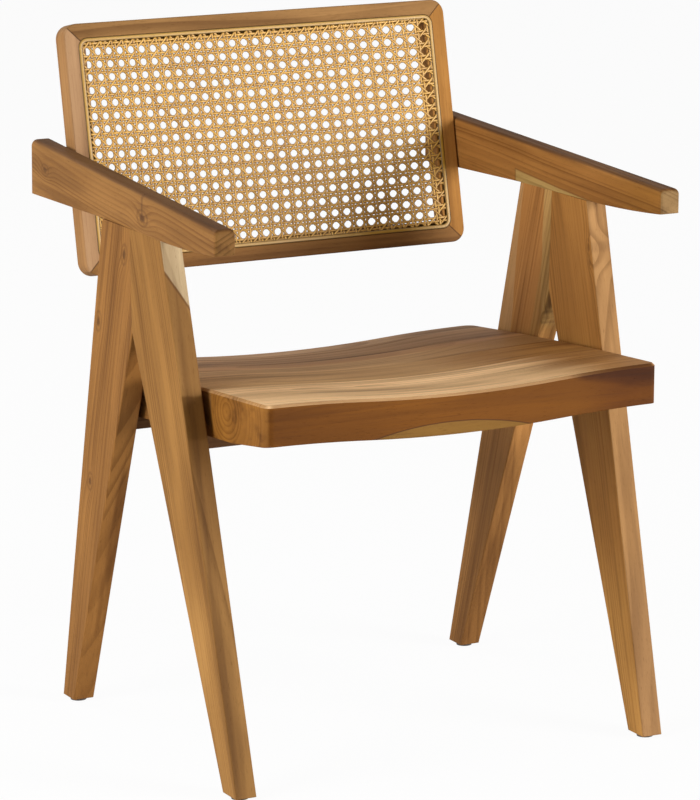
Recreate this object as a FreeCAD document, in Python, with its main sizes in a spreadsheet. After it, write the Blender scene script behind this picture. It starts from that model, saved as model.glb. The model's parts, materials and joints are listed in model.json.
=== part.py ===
"""A low lounge chair: splayed flat legs, plank arms, a carved seat and a caned back panel.

The frame's origin is on the floor below the middle of the chair's outline.
X runs across the chair, Y from the front to the back and Z up. Sizes are in millimetres.
"""

import FreeCAD
import Part
import Sketcher
import math
import os

Vector = FreeCAD.Vector

# Each row is a name, its size or share, and what it measures.
# Reaches are level distances from the middle of the feet, to the front or to the back.
SIZES = (
    ("seat_reach", 250.6, "feet's middle to the seat's front edge"),
    ("arm_back_reach", 311.0, "feet's middle to the arms' rear ends"),
    ("overrun", 40.0, "how far every cutting outline runs past the wood"),
    ("fit_gap", 0.3, "play round tenons, screws, spline and tongues"),
    ("end_gap", 1.0, "space left beyond the ends of tenons, screws and tongues"),
    ("glide_height", 4.0, "height of a glide below the foot"),
    ("glide_radius", 9.5, "radius of a glide"),
    ("glide_nail_width", 2.6, "width of a glide's square nail"),
    ("glide_nail_length", 18.0, "length of a glide's nail in the foot"),
    ("leg_side_gap", 1.5, "seat's side to the legs' inner faces at the floor"),
    ("leg_lean_share", 0.0183, "outward lean of the legs for each unit of height"),
    ("leg_thickness", 25.9, "thickness of the leg boards"),
    ("leg_edge_round", 1.8, "rounding of the long leg edges"),
    ("front_toe_reach", 232.0, "feet's middle to the front foot's front edge"),
    ("front_heel_reach", 198.0, "feet's middle to the front foot's rear edge"),
    ("rear_toe_reach", 231.0, "feet's middle to the rear foot's rear edge"),
    ("rear_heel_reach", 200.0, "feet's middle to the rear foot's front edge"),
    ("leg_top_front_reach", 65.0, "feet's middle to the front leg's front edge at the arm"),
    ("leg_top_rear_reach", 88.0, "feet's middle to the rear leg's rear edge at the arm"),
    ("seam_reach", 14.0, "feet's middle back to the seam between the legs"),
    ("seam_length", 120.5, "length of the seam between the legs, down from the arm"),
    ("leg_top", 605.5, "height of the arm's underside at the front leg"),
    ("leg_top_fall", 1.6, "fall of the leg tops from the front leg to the rear leg"),
    ("arm_side_gap", 13.0, "seat's side to the arms' inner faces at the feet's middle"),
    ("arm_toe_share", 0.0328, "outward toe of the arms for each unit towards the front"),
    ("arm_thickness", 25.3, "thickness of the arm planks"),
    ("arm_front_reach", 217.0, "feet's middle to the arms' front ends"),
    ("arm_nose_lift", 8.5, "rise of the arm's underside from the front leg to its front end"),
    ("arm_nose_depth", 28.3, "depth of the arm at its front end"),
    ("arm_rise_share", 0.0365, "rise of the arm's top for each unit towards the back"),
    ("arm_heel_drop", 7.4, "fall of the arm's underside from the rear leg to its rear end"),
    ("arm_nose_radius", 1675.0, "radius of the upward curve under the arm's front"),
    ("arm_heel_round", 9.0, "rounding of the arm's upper rear corner"),
    ("arm_heel_cut", 3.5, "cut across the arm's lower rear corner"),
    ("arm_top_round", 6.5, "rounding of the arm's upper long edges"),
    ("arm_nose_round", 3.5, "rounding of the arm's upright front edges"),
    ("seat_half_width", 248.0, "mid-plane to the seat's side"),
    ("seat_rear_reach", 181.0, "feet's middle to the seat's rear edge"),
    ("seat_front_top", 451.0, "height of the seat's top at its front corners"),
    ("seat_fall_share", 0.0867, "fall of the seat and its rails for each unit towards the back"),
    ("seat_crown", 2.5, "rise of the seat's sides above a straight line"),
    ("seat_dip", 8.7, "drop of the seat's middle below its sides"),
    ("seat_front_depth", 46.5, "depth of the seat's side at its front edge"),
    ("seat_bend_run", 80.6, "seat's front edge to where its underside stops rising"),
    ("seat_thickness", 52.8, "thickness of the seat slab, measured upright"),
    ("seat_front_corner", 10.0, "radius of the seat's front corners"),
    ("seat_rear_corner", 15.0, "radius of the seat's rear corners"),
    ("seat_rim_bevel", 3.0, "bevel of the seat's upper edge"),
    ("front_board_share", 0.314, "share of the seat's length in the front board"),
    ("second_board_share", 0.209, "share of the seat's length in the second board"),
    ("third_board_share", 0.209, "share of the seat's length in the third board"),
    ("seat_tongue_width", 24.0, "width of a tongue across a seat joint"),
    ("seat_tongue_thickness", 7.0, "thickness of a seat tongue"),
    ("seat_tongue_stop", 48.0, "seat's side to the end of a seat tongue"),
    ("seat_tongue_depth", 31.0, "seat's side top to the middle of a tongue"),
    ("rail_width", 44.0, "width of a cross rail along the seat"),
    ("rail_height", 26.0, "depth of a cross rail square to the seat"),
    ("front_rail_depth", 70.0, "seat's side top line to the middle of the front rail's underside"),
    ("rear_rail_depth", 66.1, "seat's side top line to the middle of the rear rail's underside"),
    ("front_rail_inset", 28.2, "front leg's rear edge to the middle of the front rail"),
    ("rear_rail_inset", 45.8, "rear leg's front edge to the middle of the rear rail"),
    ("rail_edge_round", 1.5, "rounding of the cross rails' lower edges"),
    ("rail_tenon_width", 26.0, "width of the tenon on a rail's end"),
    ("rail_tenon_height", 14.0, "height of the tenon on a rail's end"),
    ("rail_tenon_length", 17.0, "length of the tenon on a rail's end"),
    ("tenon_thickness", 9.0, "thickness of the loose tenons in the legs"),
    ("arm_tenon_width", 38.0, "width of a tenon between arm and leg"),
    ("arm_tenon_up", 24.0, "length of that tenon inside the arm"),
    ("arm_tenon_down", 29.0, "length of that tenon inside the leg"),
    ("seam_tenon_half", 25.0, "half the length of the tenon across the seam"),
    ("seam_tenon_height", 52.0, "height of the tenon across the seam"),
    ("seam_tenon_rise", 22.0, "seam's lower end to the foot of its tenon"),
    ("back_side_gap", 4.0, "seat's side out to the back frame's outer edge"),
    ("back_foot_reach", 204.2, "feet's middle to the lower front edge of the back"),
    ("back_foot_drop", 92.7, "arm's underside at the front leg down to the lower edge of the back"),
    ("back_rise", 287.2, "rise of the back from its lower to its upper front edge"),
    ("back_slope_share", 0.2239, "lean of the back for each unit of height"),
    ("back_thickness", 25.0, "thickness of the back frame"),
    ("back_member", 27.0, "width of the back frame's members"),
    ("back_corner", 17.0, "radius of the back frame's corners"),
    ("back_edge_bevel", 1.2, "bevel of the back frame's edges"),
    ("groove_inset", 17.0, "frame's outer edge to the groove"),
    ("groove_corner", 12.0, "radius of the groove's outer corners"),
    ("groove_depth", 8.0, "depth of the groove"),
    ("spline_width", 5.0, "width of the spline"),
    ("spline_proud", 0.4, "rise of the spline above the frame's face"),
    ("spline_bevel", 1.1, "bevel of the spline's showing edges"),
    ("cane_rim", 1.2, "thickness of the cane's turned-down rim"),
    ("cane_thickness", 1.6, "thickness of the cane webbing"),
    ("ledge_depth", 1.8, "drop of the ledge that the cane lies on"),
    ("cane_margin", 3.0, "solid strip inside the cane's rim"),
    ("cane_hole_share", 0.62, "width of a hole as a share of the pitch"),
    ("cane_corner_share", 0.3, "cut corner of a hole as a share of its width"),
    ("cane_columns", 20.0, "count of holes across the cane"),
    ("cane_rows", 11.0, "count of holes up the cane"),
    ("tongue_half_length", 10.0, "half the length of a corner tongue, across the mitre"),
    ("tongue_half_width", 5.0, "half the width of a corner tongue, along the mitre"),
    ("tongue_inset", 14.5, "frame's outer edges to the middle of a corner tongue"),
    ("tongue_depth", 14.5, "frame's face to the near side of a corner tongue"),
    ("tongue_thickness", 5.0, "thickness of a corner tongue"),
    ("back_tenon_in", 20.0, "length of an arm-to-back tenon inside the stile"),
    ("back_tenon_out", 17.0, "length of an arm-to-back tenon beyond the stile"),
    ("back_tenon_low", 103.0, "back's lower edge to the foot of that tenon, along the slope"),
    ("back_tenon_height", 28.0, "height of that tenon along the slope"),
    ("back_tenon_depth", 10.0, "frame's face to the near side of that tenon"),
    ("back_tenon_thickness", 8.0, "thickness of that tenon"),
    ("screw_shank_radius", 2.2, "radius of a seat screw's shank"),
    ("screw_head_radius", 4.4, "radius of a seat screw's head"),
    ("screw_head_height", 2.6, "height of a seat screw's head"),
    ("screw_length", 44.0, "length of a seat screw"),
    ("screw_inset", 78.0, "seat's side to the seat screws"),
)


class Size:
    """A number paired with the sheet expression that gives the same number."""

    def __init__(self, value, text):
        self.value = value
        self.text = text

    def __add__(self, other):
        other = as_size(other)
        return Size(self.value + other.value, "(" + self.text + " + " + other.text + ")")

    def __sub__(self, other):
        other = as_size(other)
        return Size(self.value - other.value, "(" + self.text + " - " + other.text + ")")

    def __mul__(self, other):
        other = as_size(other)
        return Size(self.value * other.value, "(" + self.text + " * " + other.text + ")")

    def __truediv__(self, other):
        other = as_size(other)
        return Size(self.value / other.value, "(" + self.text + " / " + other.text + ")")

    def __rmul__(self, other):
        return as_size(other) * self

    def __rtruediv__(self, other):
        return as_size(other) / self

    def __radd__(self, other):
        return as_size(other) + self

    def __neg__(self):
        return Size(-self.value, "(0 - " + self.text + ")")


def as_size(number):
    """Return a plain number or a Size as a Size."""
    if isinstance(number, Size):
        return number
    return Size(float(number), "(" + repr(number) + ")")


def root(size):
    """Square root of a Size."""
    return Size(math.sqrt(size.value), "sqrt(" + size.text + ")")


def slope_angle(size):
    """Angle in degrees whose tangent is the Size."""
    return Size(math.degrees(math.atan(size.value)), "atan(" + size.text + ")")


class Sheet:
    """The chair's sheet of sizes, with each size as an attribute."""

    def __init__(self, doc):
        self.values = {}
        sheet = doc.addObject("Spreadsheet::Sheet", "sizes")
        for row, (name, value, remark) in enumerate(SIZES, 1):
            sheet.set("A" + str(row), name)
            sheet.set("B" + str(row), str(value))
            sheet.set("C" + str(row), remark)
            sheet.setAlias("B" + str(row), name)
            self.values[name] = value

    def __getattr__(self, name):
        return Size(self.values[name], "sizes." + name)


doc = FreeCAD.newDocument("chair")
os.makedirs("parts", exist_ok=True)
s = Sheet(doc)
doc.recompute()

ZERO = Size(0.0, "0")
FEET = (s.seat_reach - s.arm_back_reach) / 2
HALF_DEPTH = (s.seat_reach + s.arm_back_reach) / 2
TOP = s.leg_top - s.back_foot_drop + s.back_rise
BACK_HALF_WIDTH = s.seat_half_width + s.back_side_gap
NODES = []


def front(reach):
    """Y of a reach towards the front from the middle of the feet."""
    return FEET - reach


def back(reach):
    """Y of a reach towards the back from the middle of the feet."""
    return FEET + reach


def plane(body, role):
    """A body's own origin plane."""
    return next(item for item in body.Origin.OriginFeatures if item.Role == role)


def new_body(name):
    """An empty body."""
    body = doc.addObject("PartDesign::Body", name)
    body.Label = name
    return body


def new_sketch(body, name, role, offset=None):
    """A sketch on one of the body's origin planes, or level with it at an offset."""
    sketch = body.newObject("Sketcher::SketchObject", name)
    sketch.AttachmentSupport = [(plane(body, role), "")]
    sketch.MapMode = "FlatFace"
    if offset is not None:
        sketch.AttachmentOffset = FreeCAD.Placement(Vector(0, 0, offset.value), FreeCAD.Rotation())
        sketch.setExpression("AttachmentOffset.Base.z", offset.text)
    return sketch


def arc_between(first, last, radius, left):
    """The short arc between two points, its centre to the left of the way or not."""
    chord = last - first
    half = chord.Length / 2
    across = Vector(-chord.y, chord.x, 0).normalize()
    if not left:
        across = -across
    rise = radius - math.sqrt(max(radius * radius - half * half, 0.0))
    middle = (first + last) * 0.5 - across * rise
    return Part.Arc(first, middle, last)


def bind(sketch, kind, size, *where):
    """Add a dimension whose value comes from the sheet."""
    index = sketch.addConstraint(Sketcher.Constraint(kind, *where, size.value))
    sketch.setExpression("Constraints[" + str(index) + "]", size.text)


def draw(sketch, corners, open_ended=False):
    """Draw an outline. Each corner is (across, up) or, before an arc, (across, up, radius, left)."""
    count = len(corners)
    points = [Vector(corner[0].value, corner[1].value, 0) for corner in corners]
    edges = []
    for step in range(count - 1 if open_ended else count):
        first = points[step]
        last = points[(step + 1) % count]
        if len(corners[step]) == 2:
            edges.append((sketch.addGeometry(Part.LineSegment(first, last), False), 1, 2))
            continue
        arc = arc_between(first, last, corners[step][2].value, corners[step][3])
        index = sketch.addGeometry(arc, False)
        forward = sketch.getPoint(index, 1).sub(first).Length < sketch.getPoint(index, 2).sub(first).Length
        edges.append((index, 1, 2) if forward else (index, 2, 1))
    for step, (index, start, end) in enumerate(edges):
        bind(sketch, "DistanceX", corners[step][0], -1, 1, index, start)
        bind(sketch, "DistanceY", corners[step][1], -1, 1, index, start)
        if len(corners[step]) == 4:
            bind(sketch, "Radius", corners[step][2], index)
        if step + 1 < len(edges) or not open_ended:
            after = edges[(step + 1) % len(edges)]
            sketch.addConstraint(Sketcher.Constraint("Coincident", index, end, after[0], after[1]))
        else:
            bind(sketch, "DistanceX", corners[-1][0], -1, 1, index, end)
            bind(sketch, "DistanceY", corners[-1][1], -1, 1, index, end)


def rectangle(low_x, low_y, high_x, high_y):
    """Corners of a rectangle."""
    return [(low_x, low_y), (high_x, low_y), (high_x, high_y), (low_x, high_y)]


def rounded(low_x, low_y, high_x, high_y, radius):
    """Corners of a rectangle with rounded corners."""
    return [
        (low_x + radius, low_y),
        (high_x - radius, low_y, radius, True),
        (high_x, low_y + radius),
        (high_x, high_y - radius, radius, True),
        (high_x - radius, high_y),
        (low_x + radius, high_y, radius, True),
        (low_x, high_y - radius),
        (low_x, low_y + radius, radius, True),
    ]


def pad(body, sketch, name, length=None, both_ways=False, backwards=False):
    """Pad a sketch."""
    feature = body.newObject("PartDesign::Pad", name)
    feature.Profile = sketch
    feature.SideType = "Symmetric" if both_ways else "One side"
    feature.Length = length.value
    feature.setExpression("Length", length.text)
    feature.Reversed = backwards
    body.Tip = feature
    return feature


def pocket(body, sketch, name, length=None):
    """Pocket a sketch: right through both ways, or one way to a depth."""
    feature = body.newObject("PartDesign::Pocket", name)
    feature.Profile = sketch
    if length is None:
        feature.Type = "ThroughAll"
        feature.SideType = "Symmetric"
    else:
        feature.Type = "Length"
        feature.Length = length.value
        feature.setExpression("Length", length.text)
    body.Tip = feature
    return feature


def trim_side(body, name, corners):
    """Cut away all that lies outside an outline in the side view."""
    sketch = new_sketch(body, name + "_outline", "YZ_Plane")
    draw(sketch, rectangle(-HALF_DEPTH - s.overrun, -s.overrun * 2, HALF_DEPTH + s.overrun, TOP + s.overrun))
    draw(sketch, corners)
    return pocket(body, sketch, name)


def round_edges(body, name, radius, wanted):
    """Round the edges of the body's last feature that the test accepts."""
    doc.recompute()
    base = body.Tip
    names = ["Edge" + str(index) for index, edge in enumerate(base.Shape.Edges, 1) if wanted(edge)]
    feature = body.newObject("PartDesign::Fillet", name)
    feature.Base = (base, names)
    feature.Radius = radius.value
    feature.setExpression("Radius", radius.text)
    body.Tip = feature
    return feature


def bevel_edges(body, name, size, wanted):
    """Bevel the edges of the body's last feature that the test accepts."""
    doc.recompute()
    base = body.Tip
    names = ["Edge" + str(index) for index, edge in enumerate(base.Shape.Edges, 1) if wanted(edge)]
    feature = body.newObject("PartDesign::Chamfer", name)
    feature.Base = (base, names)
    feature.Size = size.value
    feature.setExpression("Size", size.text)
    body.Tip = feature
    return feature


def is_straight(edge):
    """Whether an edge is a straight line."""
    return near(edge.Length, (edge.Vertexes[0].Point - edge.Vertexes[-1].Point).Length)


def near(first, second):
    """Whether two sizes are the same to a hundredth of the fit gap."""
    return abs(first - second) < s.fit_gap.value / 100


def place(item, across, along, up):
    """Bind the position of an object to the sheet."""
    item.Placement.Base = Vector(across.value, along.value, up.value)
    item.setExpression("Placement.Base.x", across.text)
    item.setExpression("Placement.Base.y", along.text)
    item.setExpression("Placement.Base.z", up.text)


def cylinder(name, start, length, radius):
    """An upright cylinder from a start point."""
    item = doc.addObject("Part::Cylinder", name)
    item.setExpression("Radius", radius.text)
    item.setExpression("Height", length.text)
    place(item, *start)
    return item


def cone(name, start, first_radius, last_radius, height):
    """An upright frustum from a start point."""
    item = doc.addObject("Part::Cone", name)
    item.setExpression("Radius1", first_radius.text)
    item.setExpression("Radius2", last_radius.text)
    item.setExpression("Height", height.text)
    place(item, *start)
    return item


def box(name, low, sizes):
    """A box from its low corner."""
    item = doc.addObject("Part::Box", name)
    item.setExpression("Length", sizes[0].text)
    item.setExpression("Width", sizes[1].text)
    item.setExpression("Height", sizes[2].text)
    place(item, *low)
    return item


def fused(name, parts):
    """One solid from overlapping parts."""
    item = doc.addObject("Part::MultiFuse", name)
    item.Shapes = list(parts)
    item.Refine = True
    return item


def group(name, items):
    """A compound of separate solids."""
    item = doc.addObject("Part::Compound", name)
    item.Links = list(items)
    return item


def finish(item, name):
    """Name an object as one of the chair's nodes."""
    item.Label = name
    NODES.append(item)
    return item


def cut_out(name, body, tools):
    """Cut tools out of a body and name the result as a node."""
    item = doc.addObject("Part::Cut", name)
    item.Base = body
    item.Tool = group(name + "_cuts", tools)
    return finish(item, name)


def tenon(name, low, sizes):
    """A loose tenon from its low corner, and the mortise with play all round it."""
    room = s.fit_gap
    piece = box(name, low, sizes)
    wider = tuple(size + room * 2 for size in sizes)
    mortise = box(name + "_mortise", tuple(value - room for value in low), wider)
    return piece, mortise


SIDES = (("left", -1), ("right", 1))
LEG_TOP_REAR = s.leg_top - s.leg_top_fall
SEAM = back(s.seam_reach)
SEAM_FOOT = s.leg_top - s.seam_length
SEAM_TOP = s.leg_top - s.leg_top_fall * (
    (s.seam_reach + s.leg_top_front_reach) / (s.leg_top_rear_reach + s.leg_top_front_reach)
)


def leg_inner(height):
    """X of a leg's inner face at a height, on the right."""
    return s.seat_half_width + s.leg_side_gap + s.leg_lean_share * height


LEG_MIDDLE_TOP = leg_inner(s.leg_top) + s.leg_thickness / 2


def leaning_blank(body, side):
    """A board as thick as a leg, leaning outwards, as deep as the chair."""
    sketch = new_sketch(body, body.Name + "_front_view", "XZ_Plane")
    low = -s.overrun
    high = TOP
    draw(sketch, [
        (side * leg_inner(low), low),
        (side * (leg_inner(low) + s.leg_thickness), low),
        (side * (leg_inner(high) + s.leg_thickness), high),
        (side * leg_inner(high), high),
    ])
    pad(body, sketch, body.Name + "_board", HALF_DEPTH * 2, both_ways=True)


def leg(name, side, corners):
    """One splayed leg, its lean cut to a level foot and to the arm's underside."""
    body = new_body(name + "_blank")
    leaning_blank(body, side)
    trim_side(body, name + "_profile", corners)

    def long_edge(edge):
        return edge.Length > s.seam_length.value * 2

    round_edges(body, name + "_edges", s.leg_edge_round, long_edge)
    return body


FRONT_LEG = [
    (front(s.front_toe_reach), s.glide_height),
    (front(s.front_heel_reach), s.glide_height),
    (SEAM, SEAM_FOOT),
    (SEAM, SEAM_TOP),
    (front(s.leg_top_front_reach), s.leg_top),
]
REAR_LEG = [
    (back(s.rear_toe_reach), s.glide_height),
    (back(s.leg_top_rear_reach), LEG_TOP_REAR),
    (SEAM, SEAM_TOP),
    (SEAM, SEAM_FOOT),
    (back(s.rear_heel_reach), s.glide_height),
]

ARM_NOSE = front(s.arm_front_reach)
ARM_HEEL = back(s.arm_back_reach)
ARM_NOSE_UNDER = s.leg_top + s.arm_nose_lift


def arm_top(along):
    """Height of the arm's top line at a Y."""
    return ARM_NOSE_UNDER + s.arm_nose_depth + s.arm_rise_share * (along - ARM_NOSE)


def arm_under(along):
    """Height of the arm's underside behind the rear leg at a Y."""
    start = back(s.leg_top_rear_reach)
    return LEG_TOP_REAR - s.arm_heel_drop * ((along - start) / (ARM_HEEL - start))


def arm_blank(name, side):
    """One plank arm: toed out in plan, with its underside curving up at the nose."""
    body = new_body(name + "_blank")

    def inner(along):
        return s.seat_half_width + s.arm_side_gap - s.arm_toe_share * (along - FEET)

    sketch = new_sketch(body, name + "_plan", "XY_Plane")
    draw(sketch, [
        (side * inner(ARM_NOSE), ARM_NOSE),
        (side * (inner(ARM_NOSE) + s.arm_thickness), ARM_NOSE),
        (side * (inner(ARM_HEEL) + s.arm_thickness), ARM_HEEL),
        (side * inner(ARM_HEEL), ARM_HEEL),
    ])
    pad(body, sketch, name + "_plank", TOP)
    beyond = ARM_HEEL + s.overrun / 2
    before = ARM_NOSE - s.overrun / 2
    cut = s.arm_heel_cut
    trim_side(body, name + "_profile", [
        (ARM_NOSE, ARM_NOSE_UNDER, s.arm_nose_radius, True),
        (front(s.leg_top_front_reach), s.leg_top),
        (back(s.leg_top_rear_reach), LEG_TOP_REAR),
        (ARM_HEEL - cut, arm_under(ARM_HEEL)),
        (ARM_HEEL, arm_under(ARM_HEEL) + cut),
        (beyond, arm_under(ARM_HEEL) + cut + s.overrun / 2),
        (beyond, arm_top(beyond)),
        (before, arm_top(before)),
        (before, ARM_NOSE_UNDER),
    ])
    crown = arm_top(ARM_NOSE).value

    def heel_corner(edge):
        limits = edge.BoundBox
        return near(limits.YMin, ARM_HEEL.value) and limits.ZMin > crown

    round_edges(body, name + "_heel", s.arm_heel_round, heel_corner)

    def upright_nose(edge):
        limits = edge.BoundBox
        return near(limits.YMax, ARM_NOSE.value) and limits.ZLength > s.arm_heel_round.value

    round_edges(body, name + "_nose", s.arm_nose_round, upright_nose)

    def upper(edge):
        limits = edge.BoundBox
        long_enough = limits.YLength > s.arm_front_reach.value
        return limits.ZMin > crown - s.arm_top_round.value and long_enough

    round_edges(body, name + "_top", s.arm_top_round, upper)
    return body


def leg_tenons(side_name, side):
    """Loose tenons from the arm down into each leg, and one across the seam."""
    low = SEAM_TOP - s.arm_tenon_down
    height = s.arm_tenon_down + s.arm_tenon_up
    across = side * LEG_MIDDLE_TOP - s.tenon_thickness / 2
    pairs = {}
    for leg_name, middle in (
        ("front", FEET + (s.seam_reach - s.leg_top_front_reach) / 2),
        ("rear", FEET + (s.seam_reach + s.leg_top_rear_reach) / 2),
    ):
        start = (across, middle - s.arm_tenon_width / 2, low)
        sizes = (s.tenon_thickness, s.arm_tenon_width, height)
        pairs[leg_name] = tenon(side_name + "_" + leg_name + "_tenon", start, sizes)
    foot = SEAM_FOOT + s.seam_tenon_rise
    middle = leg_inner(foot + s.seam_tenon_height / 2) + s.leg_thickness / 2
    start = (side * middle - s.tenon_thickness / 2, SEAM - s.seam_tenon_half, foot)
    sizes = (s.tenon_thickness, s.seam_tenon_half * 2, s.seam_tenon_height)
    pairs["seam"] = tenon(side_name + "_seam_tenon", start, sizes)
    return pairs


SEAT_FRONT = front(s.seat_reach)
SEAT_REAR = back(s.seat_rear_reach)
SEAT_RUN = SEAT_REAR - SEAT_FRONT
QUARTER = s.seat_half_width / 2
HALF_DIP = s.seat_dip / 2
DIP_RADIUS = (QUARTER * QUARTER + HALF_DIP * HALF_DIP) / (HALF_DIP * 2)
TILT_LENGTH = root(s.seat_fall_share * s.seat_fall_share + 1)
TILT_COS = 1 / TILT_LENGTH
TILT_SIN = s.seat_fall_share / TILT_LENGTH


def seat_line(along):
    """Height of the straight line through the seat's side tops at a Y."""
    return s.seat_front_top - s.seat_fall_share * (along - SEAT_FRONT)


def seat_top(along):
    """Height of the seat's side top at a Y, with its crown."""
    share = (along - SEAT_FRONT) / SEAT_RUN
    return seat_line(along) + s.seat_crown * 4 * (share - share * share)


SEAT_BEND = SEAT_FRONT + s.seat_bend_run
UNDER_FRONT = s.seat_front_top - s.seat_front_depth
RISE_SLOPE = (seat_top(SEAT_BEND) - s.seat_thickness - UNDER_FRONT) / s.seat_bend_run


def slab_section(height):
    """Front-view corners of the seat slab: both faces dip in the middle in three smooth arcs."""
    wide = s.seat_half_width
    under = height - s.seat_thickness
    return [
        (-wide, under, DIP_RADIUS, False),
        (-QUARTER, under - HALF_DIP, DIP_RADIUS, True),
        (QUARTER, under - HALF_DIP, DIP_RADIUS, False),
        (wide, under),
        (wide, height, DIP_RADIUS, True),
        (QUARTER, height - HALF_DIP, DIP_RADIUS, False),
        (-QUARTER, height - HALF_DIP, DIP_RADIUS, True),
        (-wide, height),
    ]


def under_section(height):
    """Front-view corners of what is carved away below a dipping line, past the slab's sides."""
    wide = s.seat_half_width + s.overrun
    fall = DIP_RADIUS - root(DIP_RADIUS * DIP_RADIUS - s.overrun * s.overrun)
    low = height - s.seat_thickness
    return [
        (-wide, low),
        (wide, low),
        (wide, height - fall, DIP_RADIUS, True),
        (QUARTER, height - HALF_DIP, DIP_RADIUS, False),
        (-QUARTER, height - HALF_DIP, DIP_RADIUS, True),
        (-wide, height - fall),
    ]


def carried(body, kind, name, section, low, high, slope):
    """Carry a front-view section from one Y to another along a slope, without turning it."""
    profile = new_sketch(body, name + "_section", "XZ_Plane", -low)
    draw(profile, section)
    feature = body.newObject(kind, name)
    feature.Profile = profile
    feature.SideType = "One side"
    feature.Type = "Length"
    feature.UseCustomVector = True
    feature.AlongSketchNormal = True
    feature.Direction = Vector(0, 1, slope.value)
    feature.setExpression("Direction.z", slope.text)
    feature.Length = (high - low).value
    feature.setExpression("Length", (high - low).text)
    body.Tip = feature
    return feature


def seat_board(name, low, high, front_edge=False, rear_edge=False):
    """One seat board of the dished slab, from one joint to the next."""
    body = new_body(name + "_blank")
    slope = (seat_top(high) - seat_top(low)) / (high - low)
    carried(body, "PartDesign::Pad", name + "_slab", slab_section(seat_top(low)), low, high, slope)
    middle_line = s.seat_front_depth.value / 2

    def outer_end(limits):
        at_front = front_edge and near(limits.YMin, low.value) and near(limits.YMax, low.value)
        at_rear = rear_edge and near(limits.YMin, high.value) and near(limits.YMax, high.value)
        return at_front or at_rear

    def corner(edge):
        return outer_end(edge.BoundBox) and edge.BoundBox.ZLength > middle_line

    if front_edge:
        round_edges(body, name + "_corners", s.seat_front_corner, corner)
    if rear_edge:
        round_edges(body, name + "_corners", s.seat_rear_corner, corner)

    def rim(edge):
        limits = edge.BoundBox
        middle = edge.CenterOfGravity
        if middle.z < seat_level(middle.y) - middle_line or limits.ZLength > middle_line:
            return False
        at_side = near(abs(limits.XMin), s.seat_half_width.value) and near(limits.XMin, limits.XMax)
        return at_side or outer_end(limits)

    bevel_edges(body, name + "_rim", s.seat_rim_bevel, rim)
    if front_edge:
        first = low - s.overrun
        last = SEAT_BEND + s.overrun
        rise = under_section(UNDER_FRONT + RISE_SLOPE * (first - SEAT_FRONT))
        carried(body, "PartDesign::Pocket", name + "_rise", rise, first, last, RISE_SLOPE)
    return body


def seat_level(along):
    """Height of the straight line through the seat's side tops, as a number."""
    return s.seat_front_top.value - s.seat_fall_share.value * (along - SEAT_FRONT.value)


def seat_tongue(name, joint):
    """A loose tongue across a joint between two seat boards, and its slot."""
    foot = seat_line(joint) - s.seat_tongue_depth - s.seat_tongue_thickness / 2
    half = s.seat_half_width - s.seat_tongue_stop
    start = (-half, joint - s.seat_tongue_width / 2, foot)
    return tenon(name, start, (half * 2, s.seat_tongue_width, s.seat_tongue_thickness))


def leg_edge(heel, height):
    """Y of a leg's inner sloping edge at a height, from the Y of that edge at the foot."""
    share = (height - s.glide_height) / (SEAM_FOOT - s.glide_height)
    return heel + (SEAM - heel) * share


RAIL_LEVEL = s.seat_front_top - s.front_rail_depth
FRONT_RAIL = leg_edge(front(s.front_heel_reach), RAIL_LEVEL) - s.front_rail_inset
REAR_RAIL = leg_edge(back(s.rear_heel_reach), RAIL_LEVEL) + s.rear_rail_inset
RAILS = {
    "front": (FRONT_RAIL, seat_line(FRONT_RAIL) - s.front_rail_depth),
    "rear": (REAR_RAIL, seat_line(REAR_RAIL) - s.rear_rail_depth),
}


def tilted(middle, under, half_width, low, high):
    """Side-view corners of a bar square to the tilted seat, from a rail's middle underside."""
    def point(along, up):
        return (middle + along * TILT_COS + up * TILT_SIN, under - along * TILT_SIN + up * TILT_COS)

    return [
        point(-half_width, low),
        point(half_width, low),
        point(half_width, high),
        point(-half_width, high),
    ]


def cross_bar(body, name, corners, half_length):
    """Add a bar across the chair with the given side view."""
    sketch = new_sketch(body, name + "_outline", "YZ_Plane")
    draw(sketch, corners)
    return pad(body, sketch, name, half_length * 2, both_ways=True)


def cross_rail(name, place_name):
    """A flat rail between the legs: shoulders cut to the legs' lean, with a tenon at each end."""
    middle, under = RAILS[place_name]
    body = new_body(name + "_blank")
    sketch = new_sketch(body, name + "_front_view", "XZ_Plane")
    low = -s.overrun
    high = TOP
    draw(sketch, [
        (-leg_inner(low), low),
        (leg_inner(low), low),
        (leg_inner(high), high),
        (-leg_inner(high), high),
    ])
    pad(body, sketch, name + "_board", HALF_DEPTH * 2, both_ways=True)
    trim_side(body, name + "_profile", tilted(middle, under, s.rail_width / 2, ZERO, s.rail_height))

    def lower(edge):
        limits = edge.BoundBox
        return limits.XLength > s.rail_width.value * 2 and limits.ZMax < under.value + s.rail_height.value / 2

    round_edges(body, name + "_edges", s.rail_edge_round, lower)
    reach = leg_inner(under) + s.rail_tenon_length
    cross_bar(body, name + "_tenon", tenon_corners(place_name, ZERO), reach)
    return body


def tenon_corners(place_name, room):
    """Side-view corners of a cross rail's tenon, or of its mortise with room round it."""
    middle, under = RAILS[place_name]
    low = (s.rail_height - s.rail_tenon_height) / 2 - room
    high = (s.rail_height + s.rail_tenon_height) / 2 + room
    return tilted(middle, under, s.rail_tenon_width / 2 + room, low, high)


def rail_mortise(place_name):
    """The space that a cross rail's tenons need in the legs."""
    under = RAILS[place_name][1]
    body = new_body(place_name + "_rail_mortise")
    reach = leg_inner(under) + s.rail_tenon_length + s.end_gap
    cross_bar(body, place_name + "_rail_mortise_bar", tenon_corners(place_name, s.fit_gap), reach)
    return body


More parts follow.
